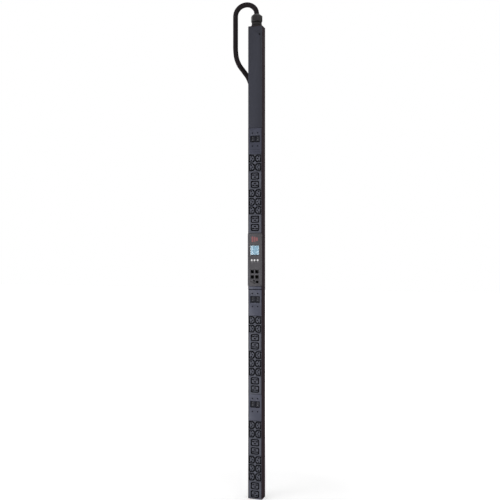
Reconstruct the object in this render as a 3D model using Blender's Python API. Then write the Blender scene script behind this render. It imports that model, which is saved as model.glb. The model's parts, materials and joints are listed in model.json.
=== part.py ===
"""Vertical rack power strip with three breaker-protected banks of outlets, a metering display,
a cable gland and a cord folded into a hank behind the body.

Run with: blender --background --python part.py
Units are metres, +Z is up, -Y is the outlet side. The origin is the seat of the lower mounting peg.
Local places are given as (across, depth behind the front face, height above the bottom end).
"""

import math

import bmesh
import bpy
from mathutils import Matrix, Vector

GAP = 0.0003  # clearance between touching pieces

# Body
BODY_WIDTH = 0.056
BODY_DEPTH = 0.044
BODY_HEIGHT = 1.829
WALL = 0.0015  # sheet of the rear channel
TOP_PLATE = 0.002
BOTTOM_PLATE = 0.0015
COVER_SHEET = 0.0015
INSIDE = BODY_WIDTH - 2 * WALL
INSERT_WIDTH = INSIDE - 2 * GAP

# Mounting pegs on the back of the channel
LOWER_PEG_HEIGHT = 0.136
PEG_SPACING = 1.556
PEG_HEAD_RADIUS = 0.0055
PEG_HEAD = 0.0025
PEG_SHANK_RADIUS = 0.003
PEG_BASE_RADIUS = 0.006
PEG_BASE = 0.0015
PEG_STANDOFF = 0.008

# Outlet banks: kinds and counts of a bank's rows from the top down, and the pitches between rows
BANK_ROWS = (("c13", 2), ("c19", 2), ("c13", 3), ("c19", 2))
C13_PITCH = 0.0327
C19_PITCH = 0.0318
C13_TO_C19 = 0.0348
PITCHES = {"c13": C13_PITCH, "c19": C19_PITCH}
WITHIN_GROUPS = sum((count - 1) * PITCHES[kind] for kind, count in BANK_ROWS)
BANK_DROP = WITHIN_GROUPS + (len(BANK_ROWS) - 1) * C13_TO_C19
C13_COLUMN = 0.0126  # column centre from the middle of the strip
C13_ISLAND = (0.0170, 0.0232)
C19_ISLAND = (0.0272, 0.0206)
GROOVE = 0.0030
GROOVE_DEPTH = 0.0150
CORNER = 0.0035
KEY_CORNER = 0.0055  # the two cut corners beside a C13 outlet's earth contact
BLOCK_DEPTH = 0.030
C13_SLOT = (0.0048, 0.0026)
C19_SLOT = (0.0088, 0.0030)
C13_POLE_RISE = 0.0070
C13_POLE_SHIFT = 0.0020
C19_POLE_SPREAD = 0.0065
C19_POLE_RISE = 0.0040

# Busbars behind the outlet blocks
BAR_SHEET = 0.0010
BAR_STEP = 0.0030
BAR_ARM = 0.0040
BAR_SPINES = {"earth": (-0.0015, 0.0015), "neutral": (0.0018, 0.0100), "line": (-0.0100, -0.0018)}
BAR_LAYERS = {"earth": 0, "neutral": 1, "line": 2}
CONTACT_SET_BACK = 0.0040  # from the front of the block to the contact's tip

# The stack from the top bank down: last row above what lies below the bank, bezel above the first
# row, the bezel's height, and its windows' centre above its lower edge
STACK = (
    (0.0223, 0.0167, 0.1023, 0.0593),
    (0.0202, 0.0167, 0.1146, 0.0636),
    (0.0192, 0.0168, 0.1028, 0.0635),
)
DISPLAY_HEIGHT = 0.2043
DISPLAY_CLEAR = 0.0005  # display module above the middle bezel


def stacked():
    """First rows, bezels as (lower edge, upper edge, window centre), and the display's span."""
    tops, bezels, floor, display = [], [], 0, None
    for number in (3, 2, 1):
        last_row, bezel_above, tall, window = STACK[number - 1]
        top = floor + last_row + BANK_DROP
        low = top + bezel_above
        tops.insert(0, top)
        bezels.insert(0, (low, low + tall, low + window))
        floor = low + tall
        if number == 2:
            display = (floor + DISPLAY_CLEAR, floor + DISPLAY_CLEAR + DISPLAY_HEIGHT)
            floor = display[1]
    return tops, bezels, display


BANK_TOPS, BREAKER_BEZELS, DISPLAY = stacked()

# Breaker bays
BEZEL_SHEET = 0.0020
BEZEL_SKIRT = 0.0100
WINDOW = (0.0188, 0.0252)
BREAKER = (0.0196, 0.0340)
BREAKER_BACK = 0.0300
ROCKER_WIDTH = 0.0136
ROCKER_HALF_HEIGHT = 0.0100
ROCKER_NOSE = 0.0044  # front of the rocker's middle ahead of its pivot
ROCKER_HORN = 0.0062
ROCKER_BACK = 0.0035
ROCKER_LIP = 0.0031  # where each end's thickness stops, ahead of the pivot
ROCKER_CHEEK = 0.0040
ROCKER_THROW = math.radians(12)
PIVOT_DEPTH = 0.0083
PIVOT_RADIUS = 0.0014
PIVOT_STUB = 0.0014
SEAM_BELOW_DISPLAY = BREAKER_BEZELS[1][1] - 0.0122

# Display module
DISPLAY_WIDTH = BODY_WIDTH + 2 * GAP
DISPLAY_PROUD = 0.0045
DISPLAY_WALL = 0.0020
DISPLAY_CORNER = 0.0050
SCREEN = (0.0370, 0.0388)
SCREEN_HEIGHT = DISPLAY[0] + 0.1387
LCD = (0.0420, 0.0460, 0.0034)
BUTTON_PLACES = (-0.0124, -0.0008, 0.0118)
BUTTON_HEIGHT = DISPLAY[0] + 0.1000
BUTTON = (0.0084, 0.0086)
BUTTON_PROUD = 0.0008
BUTTON_TRAVEL = 0.0008
BUTTON_FLANGE = 0.0010
BUTTON_STEM = 0.0030
BUTTON_ARC = 100  # degrees of the round end each side of straight right
BUTTON_ARC_STEP = 40
TIP_GROWTH = 1.5  # how much faster the tip moves out as the outline grows
BOARD_SHEET = 0.0016
BOARD_MARGIN = 0.0060
JACK_COLUMNS = (-0.0092, 0.0092)
JACK_ROWS = (DISPLAY[0] + 0.0557, DISPLAY[0] + 0.0355)
JACK_OPENING = (0.0124, 0.0120)
JACK_WALL = 0.0024
JACK_BACK = 0.0120
SOCKET_ROW = DISPLAY[0] + 0.0165
SENSOR_JACK = (0.0104, SOCKET_ROW)
SENSOR_BODY = (0.0140, 0.0128)
SENSOR_OPENING = (0.0100, 0.0086)
USB = (-0.0022, SOCKET_ROW)
USB_BODY = (0.0084, 0.0128)
USB_OPENING = (0.0046, 0.0100)
USB_TONGUE = (0.0014, 0.0070)
USB_SET_BACK = 0.0020
RESET = (-0.0145, SOCKET_ROW)
RESET_RADIUS = 0.0015
RESET_RECESS = 0.0008
RESET_TRAVEL = 0.0005

# Cable gland and its parts, as heights above the top plate
CORD_DIAMETER = 0.0195
GLAND_HOLE = 0.0160
GLAND_THREAD = 0.0157
GLAND_THREAD_DOWN = 0.0140
GLAND_FLANGE = (0.0230, 0.0050)
GLAND_NECK = (0.0200, 0.0200)
GLAND_NUT = (0.0235, 0.0220, 0.0500)  # corner radius, foot, crown
GLAND_NUT_DOME = 0.0120
GLAND_NUT_CHAMFER = 0.0015
NUT_DOME_STEPS = ((0.93, 0.45), (0.80, 0.12), (0.66, 0.0))  # shares of the corner radius and the dome
GLAND_WALL = 0.0040
SEAL_WALL = 0.0030
GLAND_BORE = CORD_DIAMETER / 2 + GAP
LOCKNUT = (0.0200, 0.0050)

# Supply terminals below the gland
TERMINAL = (0.0400, 0.0140, 0.0300)
TERMINAL_HEIGHT = BODY_HEIGHT - 0.0590
TERMINAL_HOLE = 0.0060
TERMINAL_HOLES = 4

# Cover screw
SCREW = (0.0180, BODY_HEIGHT - 0.0340)
SCREW_HEAD = (0.0030, 0.0012)
SCREW_SHANK = (0.0014, 0.0060)

# Cord: the route's own points from the middle of the top end, then the hank behind the body
CORD_ROUTE = (
    (0.0000, 0.0000, 0.0503),
    (0.0000, 0.0000, 0.0532),
    (-0.0035, 0.0000, 0.0675),
    (-0.0128, 0.0000, 0.0800),
    (-0.0270, 0.0000, 0.0890),
    (-0.0437, 0.0000, 0.0920),
    (-0.0605, 0.0000, 0.0890),
    (-0.0747, 0.0000, 0.0800),
    (-0.0840, 0.0000, 0.0670),
    (-0.0872, 0.0000, 0.0530),
    (-0.0875, 0.0000, 0.0310),
    (-0.0875, 0.0000, 0.0060),
    (-0.0875, 0.0000, -0.0240),
    (-0.0875, 0.0000, -0.0540),
    (-0.0873, 0.0002, -0.0810),
    (-0.0845, 0.0032, -0.1120),
    (-0.0765, 0.0118, -0.1375),
    (-0.0632, 0.0262, -0.1596),
    (-0.0498, 0.0406, -0.1817),
    (-0.0418, 0.0492, -0.2072),
    (-0.0390, 0.0522, -0.2330),
    (-0.0388, 0.0524, -0.2410),
    (-0.0388, 0.0524, -0.2437),
)
CORD_STEP = 0.0120
HANK_TURN = math.radians(18.5)  # the hank's plane, turned from straight back
HANK_AWAY = 0.0620  # near run's centre behind the body's centre
HANK_FOLD = 0.1170  # from the near runs to the far run
HANK_RUN = 0.2910
HANK_TOP = BODY_HEIGHT - 0.3140  # centre of the upper fold
HANK_LEAD = 0.0700  # straight lead above and below the folds
HANK_SIDES = (-0.0301, 0.0101)
HANK_ROUND = 9  # segments in each round end
TIE_SHEET = 0.0020
TIE_WIDTH = 0.0250
PLUG_RADIUS = 0.0285
PLUG_LENGTH = 0.0760
PLUG_NECK = 0.0190
PLUG_STEPS = (0.0030, 0.0160, 0.0260, 0.0320)  # neck's edge and foot, shoulder's edge and foot
PLUG_TAPER = 0.0040  # how much narrower the neck's and the shoulder's first rings are
PLUG_INSERT = (0.0245, 0.0060)
BLADE_RING = 0.0135
BLADE = (0.0080, 0.0018, 0.0185)
BLADES = 4

ROUND = 20  # sides of a turned piece

FRONT_Y = -(PEG_STANDOFF + BODY_DEPTH)
CENTRE_DEPTH = BODY_DEPTH / 2


def material(name, colour, roughness, metallic=0.0):
    """A Principled material in one plain colour."""
    made = bpy.data.materials.new(name)
    made.use_nodes = True
    shader = made.node_tree.nodes["Principled BSDF"]
    shader.inputs["Base Color"].default_value = (*colour, 1)
    shader.inputs["Roughness"].default_value = roughness
    shader.inputs["Metallic"].default_value = metallic
    made.diffuse_color = (*colour, 1)
    return made


def add_box(bm, low, high):
    """A box between two corners."""
    size = Vector(high) - Vector(low)
    middle = (Vector(high) + Vector(low)) / 2
    shape = Matrix.Translation(middle) @ Matrix.Diagonal((*size, 1))
    bmesh.ops.create_cube(bm, size=1, matrix=shape)


def add_prism(bm, outline, low, high, place):
    """An outline of 2-D points extruded from low to high; place turns (a, b, along) into a point."""
    bottom = [bm.verts.new(place(a, b, low)) for a, b in outline]
    top = [bm.verts.new(place(a, b, high)) for a, b in outline]
    count = len(outline)
    faces = [bm.faces.new(bottom), bm.faces.new(list(reversed(top)))]
    for i in range(count):
        j = (i + 1) % count
        faces.append(bm.faces.new((bottom[j], bottom[i], top[i], top[j])))
    bmesh.ops.recalc_face_normals(bm, faces=faces)


def in_depth(across, height, depth):
    """Place for an outline seen from the front, extruded along the depth."""
    return (across, depth, height)


def upward(across, depth, height):
    """Place for an outline seen from above, extruded upward."""
    return (across, depth, height)


def sideways(depth, height, across):
    """Place for an outline seen from the side, extruded across."""
    return (across, depth, height)


def add_turned(bm, profile, place, hollow=False, sides=ROUND):
    """A profile of (radius, along) turned about an axis; a hollow one is a closed ring of points."""
    rings = []
    for radius, along in profile:
        angles = (2 * math.pi * i / sides for i in range(sides))
        places = [place(radius * math.cos(a), radius * math.sin(a), along) for a in angles]
        rings.append([bm.verts.new(p) for p in places])
    faces = []
    steps = len(rings) if hollow else len(rings) - 1
    for k in range(steps):
        one, two = rings[k], rings[(k + 1) % len(rings)]
        for i in range(sides):
            j = (i + 1) % sides
            faces.append(bm.faces.new((one[i], one[j], two[j], two[i])))
    if not hollow:
        faces.append(bm.faces.new(rings[0]))
        faces.append(bm.faces.new(rings[-1]))
    bmesh.ops.recalc_face_normals(bm, faces=faces)


def cut_corners(width, height, centre=(0, 0), left=CORNER, right=CORNER):
    """A rectangle with its four corners cut off, the left pair and the right pair each by its own size."""
    x, z = width / 2, height / 2
    points = [
        (-x, -z + left), (-x + left, -z), (x - right, -z), (x, -z + right),
        (x, z - right), (x - right, z), (-x + left, z), (-x, z - left),
    ]
    return [(centre[0] + a, centre[1] + b) for a, b in points]


def rectangle(width, height, centre=(0, 0)):
    """A plain rectangle about a centre."""
    x, z = width / 2, height / 2
    return [(centre[0] + a, centre[1] + b) for a, b in ((-x, -z), (x, -z), (x, z), (-x, z))]


class Maker:
    """Adds named solids and their cuts to the scene, all under one empty that places the body."""

    def __init__(self):
        self.body = bpy.data.objects.new("body_frame", None)
        bpy.context.scene.collection.objects.link(self.body)
        self.body.location = (0, FRONT_Y, -LOWER_PEG_HEIGHT)

    def add(self, name, bm, finish, origin=(0, 0, 0), turn=0.0, smooth=False):
        """A named solid from bm, whose points are relative to origin and turned about X."""
        mesh = bpy.data.meshes.new(name)
        bm.to_mesh(mesh)
        bm.free()
        mesh.materials.append(finish)
        made = bpy.data.objects.new(name, mesh)
        bpy.context.scene.collection.objects.link(made)
        made.parent = self.body
        made.location = origin
        made.rotation_euler = (turn, 0, 0)
        if smooth:
            mesh.shade_smooth()
            mesh.set_sharp_from_angle(angle=math.radians(35))
        return made

    def combine(self, made, bm, operation="DIFFERENCE"):
        """Cuts bm's shapes out of made, or joins them to it. They are in made's own coordinates."""
        mesh = bpy.data.meshes.new(made.name + "_tool")
        bm.to_mesh(mesh)
        bm.free()
        tool = bpy.data.objects.new(made.name + "_tool", mesh)
        bpy.context.scene.collection.objects.link(tool)
        tool.parent = made
        tool.hide_render = True
        tool.display_type = "WIRE"
        step = made.modifiers.new(operation.lower(), "BOOLEAN")
        step.operation = operation
        step.object = tool
        step.solver = "EXACT"


def clear_scene():
    """Removes what the scene holds."""
    for existing in list(bpy.data.objects):
        bpy.data.objects.remove(existing, do_unlink=True)


def build_channel(maker, steel):
    """The U-shaped rear channel. Its sides stop short under the upper cover, which lies over their edges."""
    half = BODY_WIDTH / 2
    web = BODY_DEPTH - WALL
    outline = [
        (-half, 0), (-half + WALL, 0), (-half + WALL, web), (half - WALL, web),
        (half - WALL, 0), (half, 0), (half, BODY_DEPTH), (-half, BODY_DEPTH),
    ]
    bm = bmesh.new()
    top = BODY_HEIGHT - TOP_PLATE - GAP
    add_prism(bm, outline, BOTTOM_PLATE + GAP, top, upward)
    made = maker.add("rear_channel", bm, steel)
    tool = bmesh.new()
    cover_foot = BREAKER_BEZELS[0][1] + GAP
    add_box(tool, (-BODY_WIDTH, -BODY_DEPTH, cover_foot), (BODY_WIDTH, COVER_SHEET + GAP, BODY_HEIGHT))
    maker.combine(made, tool)


def build_ends(maker, steel):
    """The top plate with its gland hole, and the bottom plate."""
    half = BODY_WIDTH / 2
    bm = bmesh.new()
    add_box(bm, (-half, 0, BODY_HEIGHT - TOP_PLATE), (half, BODY_DEPTH, BODY_HEIGHT))
    top = maker.add("top_end_plate", bm, steel)
    tool = bmesh.new()
    add_turned(
        tool,
        [(GLAND_HOLE, BODY_HEIGHT - 2 * TOP_PLATE), (GLAND_HOLE, BODY_HEIGHT + TOP_PLATE)],
        lambda a, b, along: (a, CENTRE_DEPTH + b, along),
    )
    maker.combine(top, tool)
    bm = bmesh.new()
    add_box(bm, (-half, 0, 0), (half, BODY_DEPTH, BOTTOM_PLATE))
    maker.add("bottom_end_cap", bm, steel)


def build_cover(maker, paint, plated):
    """The blank upper cover with its inner flanges, and the screw that holds it."""
    half, inner = BODY_WIDTH / 2, INSERT_WIDTH / 2
    outline = [
        (-half, 0), (half, 0), (half, COVER_SHEET), (inner, COVER_SHEET), (inner, BEZEL_SKIRT),
        (inner - COVER_SHEET, BEZEL_SKIRT), (inner - COVER_SHEET, COVER_SHEET),
        (-inner + COVER_SHEET, COVER_SHEET), (-inner + COVER_SHEET, BEZEL_SKIRT),
        (-inner, BEZEL_SKIRT), (-inner, COVER_SHEET), (-half, COVER_SHEET),
    ]
    bm = bmesh.new()
    low = BREAKER_BEZELS[0][1] + GAP
    add_prism(bm, outline, low, BODY_HEIGHT - TOP_PLATE - GAP, upward)
    cover = maker.add("upper_front_cover", bm, paint)
    place = lambda a, b, along: (SCREW[0] + a, along, SCREW[1] + b)
    tool = bmesh.new()
    hole = SCREW_SHANK[0] + GAP
    add_turned(tool, [(hole, -COVER_SHEET), (hole, 2 * COVER_SHEET)], place, sides=12)
    maker.combine(cover, tool)
    bm = bmesh.new()
    head, sheet = SCREW_HEAD
    shank, length = SCREW_SHANK
    crown, shoulder = -GAP - sheet, -GAP - sheet / 2
    profile = [(head - sheet / 2, crown), (head, shoulder), (head, -GAP), (shank, -GAP), (shank, length)]
    add_turned(bm, profile, place, sides=12)
    maker.add("cover_screw", bm, plated)


def breaker_places(window_centre):
    """The two breakers of a bay: name, centre across, centre height."""
    step = (BREAKER[0] + GAP) / 2
    return (("left", -step, window_centre), ("right", step, window_centre))


def build_bezel(maker, number, low, high, window_centre, paint):
    """One breaker bay's front plate with its side skirts and a window for each breaker."""
    half = INSERT_WIDTH / 2
    outline = [
        (-half, 0), (half, 0), (half, BEZEL_SKIRT), (half - BEZEL_SHEET, BEZEL_SKIRT),
        (half - BEZEL_SHEET, BEZEL_SHEET), (-half + BEZEL_SHEET, BEZEL_SHEET),
        (-half + BEZEL_SHEET, BEZEL_SKIRT), (-half, BEZEL_SKIRT),
    ]
    bm = bmesh.new()
    add_prism(bm, outline, low, high, upward)
    made = maker.add(f"breaker_bezel_{number}", bm, paint)
    tool = bmesh.new()
    for _, across, height in breaker_places(window_centre):
        add_prism(tool, rectangle(*WINDOW, (across, height)), -BEZEL_SHEET, 2 * BEZEL_SHEET, in_depth)
    if low < SEAM_BELOW_DISPLAY < high:
        seam = BEZEL_SHEET / 2
        add_box(
            tool,
            (-BODY_WIDTH, -BEZEL_SHEET, SEAM_BELOW_DISPLAY - seam / 2),
            (BODY_WIDTH, seam, SEAM_BELOW_DISPLAY + seam / 2),
        )
    maker.combine(made, tool)


def rocker_outline():
    """The rocker from the side, about its pivot: two front faces that meet in a shallow valley."""
    tall = ROCKER_HALF_HEIGHT
    return [
        (-ROCKER_NOSE, 0), (-ROCKER_HORN, tall), (-ROCKER_LIP, tall), (ROCKER_BACK, ROCKER_CHEEK),
        (ROCKER_BACK, -ROCKER_CHEEK), (-ROCKER_LIP, -tall), (-ROCKER_HORN, -tall),
    ]


def build_breakers(maker, number, window_centre, case, handle):
    """The bay's two breakers: a case with a rocker pocket and pivot holes, and the rocker on its stubs."""
    front = BEZEL_SHEET + GAP
    reach = math.hypot(ROCKER_HORN, ROCKER_HALF_HEIGHT) + GAP
    for side, across, height in breaker_places(window_centre):
        bm = bmesh.new()
        add_prism(bm, rectangle(*BREAKER, (across, height)), front, BREAKER_BACK, in_depth)
        made = maker.add(f"breaker_body_{number}_{side}", bm, case)
        tool = bmesh.new()
        pocket = rectangle(ROCKER_WIDTH + 2 * GAP, 2 * reach, (across, height))
        add_prism(tool, pocket, front - WALL, PIVOT_DEPTH + ROCKER_BACK + 2 * WALL, in_depth)
        maker.combine(made, tool)
        tool = bmesh.new()
        stub = ROCKER_WIDTH / 2 + PIVOT_STUB
        hole = [(PIVOT_RADIUS + GAP, -stub - GAP), (PIVOT_RADIUS + GAP, stub + GAP)]
        add_turned(tool, hole, lambda a, b, s: (across + s, PIVOT_DEPTH + a, height + b), sides=8)
        maker.combine(made, tool)
        bm = bmesh.new()
        add_prism(bm, rocker_outline(), -ROCKER_WIDTH / 2, ROCKER_WIDTH / 2, sideways)
        place = (across, PIVOT_DEPTH, height)
        rocker = maker.add(f"breaker_rocker_{number}_{side}", bm, handle, place, -ROCKER_THROW)
        tool = bmesh.new()
        stubs = [(PIVOT_RADIUS, -stub), (PIVOT_RADIUS, stub)]
        add_turned(tool, stubs, lambda a, b, s: (s, a, b), sides=8)
        maker.combine(rocker, tool, "UNION")


def bank_rows(top):
    """A bank's rows from the top down: kind, centre height, and whether the earth contact is above."""
    rows, height = [], top
    for kind, count in BANK_ROWS:
        for i in range(count):
            rows.append((kind, height - i * PITCHES[kind], i == 1))
        height -= (count - 1) * PITCHES[kind] + C13_TO_C19
    return rows


def outlets_of(row):
    """The outlets in one row: centre across, centre height, and their three contacts as places."""
    kind, height, earth_above = row
    if kind == "c19":
        rise = -C19_POLE_RISE if earth_above else C19_POLE_RISE
        contacts = {
            "line": (-C19_POLE_SPREAD, height + rise),
            "neutral": (C19_POLE_SPREAD, height + rise),
            "earth": (0, height - rise),
        }
        return [(0, height, contacts)]
    outlets = []
    for side in (-1, 1):
        column = side * C13_COLUMN
        outer, inner = column + side * C13_POLE_SHIFT, column - side * C13_POLE_SHIFT
        contacts = {
            "line": (outer, height + C13_POLE_RISE),
            "neutral": (outer, height - C13_POLE_RISE),
            "earth": (inner, height),
        }
        outlets.append((column, height, contacts))
    return outlets


def block_rows(top):
    """A bank's rows grouped into its four moulded blocks."""
    rows = bank_rows(top)
    blocks = []
    for _, count in BANK_ROWS:
        blocks.append(rows[:count])
        rows = rows[count:]
    return blocks


def island_outline(kind, across, height, grow=0.0):
    """An outlet's island, or its groove's outer edge when grown."""
    if kind == "c19":
        width, tall = C19_ISLAND
        return cut_corners(width + 2 * grow, tall + 2 * grow, (across, height))
    width, tall = C13_ISLAND
    left = KEY_CORNER if across > 0 else CORNER / 2
    right = CORNER / 2 if across > 0 else KEY_CORNER
    return cut_corners(width + 2 * grow, tall + 2 * grow, (across, height), left, right)


def add_groove(tool, kind, across, height):
    """The ring-shaped groove that takes a plug's shroud."""
    outer = island_outline(kind, across, height, GROOVE)
    inner = island_outline(kind, across, height)
    ends = (-GROOVE, GROOVE_DEPTH)
    outer_front, outer_back, inner_front, inner_back = (
        [tool.verts.new(in_depth(*p, depth)) for p in line] for line in (outer, inner) for depth in ends
    )
    faces = []
    pairs = (
        (outer_front, outer_back), (outer_back, inner_back), (inner_back, inner_front),
        (inner_front, outer_front),
    )
    for one, two in pairs:
        for i in range(len(one)):
            j = (i + 1) % len(one)
            faces.append(tool.faces.new((one[i], one[j], two[j], two[i])))
    bmesh.ops.recalc_face_normals(tool, faces=faces)


def build_outlet_block(maker, name, rows, low, high, plastic):
    """One moulded block of outlets, with its grooves and contact slots."""
    bm = bmesh.new()
    centre = (0, (low + high) / 2)
    add_prism(bm, rectangle(INSERT_WIDTH, high - low, centre), 0, BLOCK_DEPTH, in_depth)
    made = maker.add(name, bm, plastic)
    grooves, slots = bmesh.new(), bmesh.new()
    for row in rows:
        slot = C19_SLOT if row[0] == "c19" else C13_SLOT
        for across, height, contacts in outlets_of(row):
            add_groove(grooves, row[0], across, height)
            for place in contacts.values():
                add_prism(slots, rectangle(*slot, place), -GROOVE, BLOCK_DEPTH + GROOVE, in_depth)
    maker.combine(made, grooves)
    maker.combine(made, slots)


def bank_edges(number, top):
    """The heights that part a bank's four blocks, from its top edge to its bottom edge."""
    blocks = block_rows(top)
    edges = [BREAKER_BEZELS[number - 1][0] - GAP]
    for upper, lower in zip(blocks, blocks[1:]):
        edges.append((upper[-1][1] + lower[0][1]) / 2)
    floors = (DISPLAY[1] + GAP, BREAKER_BEZELS[2][1] + GAP, BOTTOM_PLATE + GAP)
    edges.append(floors[number - 1])
    return edges


def build_bank(maker, number, top, plastic):
    """The bank's four outlet blocks."""
    edges = bank_edges(number, top)
    names = ("c13_block_{}_upper", "c19_block_{}_upper", "c13_block_{}_lower", "c19_block_{}_lower")
    for i, (name, rows) in enumerate(zip(names, block_rows(top))):
        high = edges[i] if i == 0 else edges[i] - GAP / 2
        low = edges[i + 1] if i == len(names) - 1 else edges[i + 1] + GAP / 2
        build_outlet_block(maker, name.format(number), rows, low, high, plastic)


def build_busbar(maker, name, pole, tops, metal):
    """A pressed bar behind the blocks with an arm and a contact finger for each outlet of its pole."""
    front = BLOCK_DEPTH + GAP + BAR_LAYERS[pole] * BAR_STEP
    back = front + BAR_SHEET
    spine = BAR_SPINES[pole]
    rows = [row for top in tops for row in bank_rows(top)]
    high = rows[0][1] + C13_POLE_RISE + BAR_ARM
    low = rows[-1][1] - C13_POLE_RISE - BAR_ARM
    bm = bmesh.new()
    add_box(bm, (spine[0], front, low), (spine[1], back, high))
    made = maker.add(name, bm, metal)
    arms, fingers = bmesh.new(), bmesh.new()
    for row in rows:
        slot = C19_SLOT if row[0] == "c19" else C13_SLOT
        outlets = outlets_of(row)
        places = [contacts[pole] for _, _, contacts in outlets]
        ends = [across for across, _ in places] + list(spine)
        height = places[0][1]
        reach = slot[0] / 2 - GAP
        if row[0] == "c13":
            left, right = min(ends) - reach, max(ends) + reach
            add_box(arms, (left, front, height - BAR_ARM / 2), (right, back, height + BAR_ARM / 2))
        for across, rise in places:
            low_corner = (across - reach, CONTACT_SET_BACK, rise - slot[1] / 2 + GAP)
            high_corner = (across + reach, back, rise + slot[1] / 2 - GAP)
            add_box(fingers, low_corner, high_corner)
    maker.combine(made, arms, "UNION")
    maker.combine(made, fingers, "UNION")


def build_display(maker, paint, glass, screen, board_finish, port, rubber):
    """The display module: its shell, window, screen, board, buttons and sockets."""
    low, high = DISPLAY[0] + GAP, DISPLAY[1] - GAP
    centre = (0, (low + high) / 2)
    face, inside = -DISPLAY_PROUD, -DISPLAY_PROUD + DISPLAY_WALL
    bm = bmesh.new()
    outline = cut_corners(DISPLAY_WIDTH, high - low, centre, DISPLAY_CORNER / 2, DISPLAY_CORNER / 2)
    add_prism(bm, outline, face, -GAP, in_depth)
    shell = maker.add("display_bezel", bm, paint)
    hollow = bmesh.new()
    inner = rectangle(DISPLAY_WIDTH - 2 * DISPLAY_WALL, high - low - 2 * DISPLAY_WALL, centre)
    add_prism(hollow, inner, inside, DISPLAY_WALL, in_depth)
    maker.combine(shell, hollow)
    holes = bmesh.new()

    def cut_front(outline):
        add_prism(holes, outline, face - DISPLAY_WALL, inside + DISPLAY_WALL / 2, in_depth)

    cut_front(rectangle(*SCREEN, (0, SCREEN_HEIGHT)))
    for across in BUTTON_PLACES:
        cut_front(button_outline(across, GAP))
    jack_low, jack_high = jack_block_box()
    middle = (0, (jack_low[2] + jack_high[2]) / 2)
    size = (jack_high[0] - jack_low[0] + 2 * GAP, jack_high[2] - jack_low[2] + 2 * GAP)
    cut_front(rectangle(*size, middle))
    for body, place in ((SENSOR_BODY, SENSOR_JACK), (USB_BODY, USB)):
        cut_front(rectangle(body[0] + 2 * GAP, body[1] + 2 * GAP, place))
    add_turned(
        holes,
        [(RESET_RADIUS + GAP, face - DISPLAY_WALL), (RESET_RADIUS + GAP, inside + DISPLAY_WALL / 2)],
        lambda a, b, along: (RESET[0] + a, along, RESET[1] + b),
        sides=10,
    )
    maker.combine(shell, holes)

    bm = bmesh.new()
    lens = rectangle(SCREEN[0] - 2 * GAP, SCREEN[1] - 2 * GAP, (0, SCREEN_HEIGHT))
    add_prism(bm, lens, face + GAP, inside - GAP, in_depth)
    maker.add("display_window", bm, glass)
    bm = bmesh.new()
    lcd_back = inside + GAP + LCD[2]
    add_prism(bm, rectangle(LCD[0], LCD[1], (0, SCREEN_HEIGHT)), inside + GAP, lcd_back, in_depth)
    maker.add("lcd_panel", bm, screen)

    board_front = lcd_back + GAP
    bm = bmesh.new()
    tall = high - low - 2 * BOARD_MARGIN
    add_prism(bm, rectangle(INSERT_WIDTH, tall, centre), board_front, board_front + BOARD_SHEET, in_depth)
    board = maker.add("controller_board", bm, board_finish)
    tool = bmesh.new()
    add_prism(tool, rectangle(*size, middle), 0, 2 * board_front + BOARD_SHEET, in_depth)
    for body, place in ((SENSOR_BODY, SENSOR_JACK), (USB_BODY, USB)):
        opening = rectangle(body[0] + 2 * GAP, body[1] + 2 * GAP, place)
        add_prism(tool, opening, 0, 2 * board_front + BOARD_SHEET, in_depth)
    maker.combine(board, tool)

    build_buttons(maker, face, inside, board_front, rubber)
    build_sockets(maker, face, port)


def button_outline(across, grow=0.0):
    """A drop-shaped button outline that points left."""
    width, tall = BUTTON
    radius = tall / 2 + grow
    middle = across + width / 2 - tall / 2
    tip = across - width / 2 - grow * TIP_GROWTH
    arc = [math.radians(a) for a in range(-BUTTON_ARC, BUTTON_ARC + 1, BUTTON_ARC_STEP)]
    points = [(middle + radius * math.cos(a), BUTTON_HEIGHT + radius * math.sin(a)) for a in arc]
    return points + [(tip, BUTTON_HEIGHT)]


def build_buttons(maker, face, inside, board_front, rubber):
    """Three menu buttons held behind the shell by a flange, and the recessed reset button."""
    for number, across in enumerate(BUTTON_PLACES, 1):
        origin = (across, face, BUTTON_HEIGHT)
        outline = [(a - across, b - BUTTON_HEIGHT) for a, b in button_outline(across)]
        bm = bmesh.new()
        add_prism(bm, outline, -BUTTON_PROUD, inside - face + 2 * GAP, in_depth)
        made = maker.add(f"menu_button_{number}", bm, rubber, origin)
        tool = bmesh.new()
        rest = inside - face + GAP
        flange = rectangle(BUTTON[0] + 2 * BUTTON_FLANGE, BUTTON[1] + 2 * BUTTON_FLANGE)
        add_prism(tool, flange, rest, rest + BUTTON_FLANGE, in_depth)
        maker.combine(made, tool, "UNION")
        tool = bmesh.new()
        end = board_front - BUTTON_TRAVEL - GAP - face
        add_prism(tool, rectangle(BUTTON_STEM, BUTTON_STEM), rest + BUTTON_FLANGE / 2, end, in_depth)
        maker.combine(made, tool, "UNION")
    bm = bmesh.new()
    end = board_front - RESET_TRAVEL - GAP - face
    add_turned(
        bm,
        [(RESET_RADIUS, RESET_RECESS), (RESET_RADIUS, end)],
        lambda a, b, along: (a, along, b),
        sides=10,
    )
    maker.add("reset_button", bm, rubber, (RESET[0], face, RESET[1]))


def jack_block_box():
    """Low and high corner of the block that holds the four network jacks."""
    half_wide, half_tall = JACK_OPENING[0] / 2 + JACK_WALL, JACK_OPENING[1] / 2 + JACK_WALL
    low = (min(JACK_COLUMNS) - half_wide, -DISPLAY_PROUD, min(JACK_ROWS) - half_tall)
    high = (max(JACK_COLUMNS) + half_wide, JACK_BACK, max(JACK_ROWS) + half_tall)
    return low, high


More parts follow.
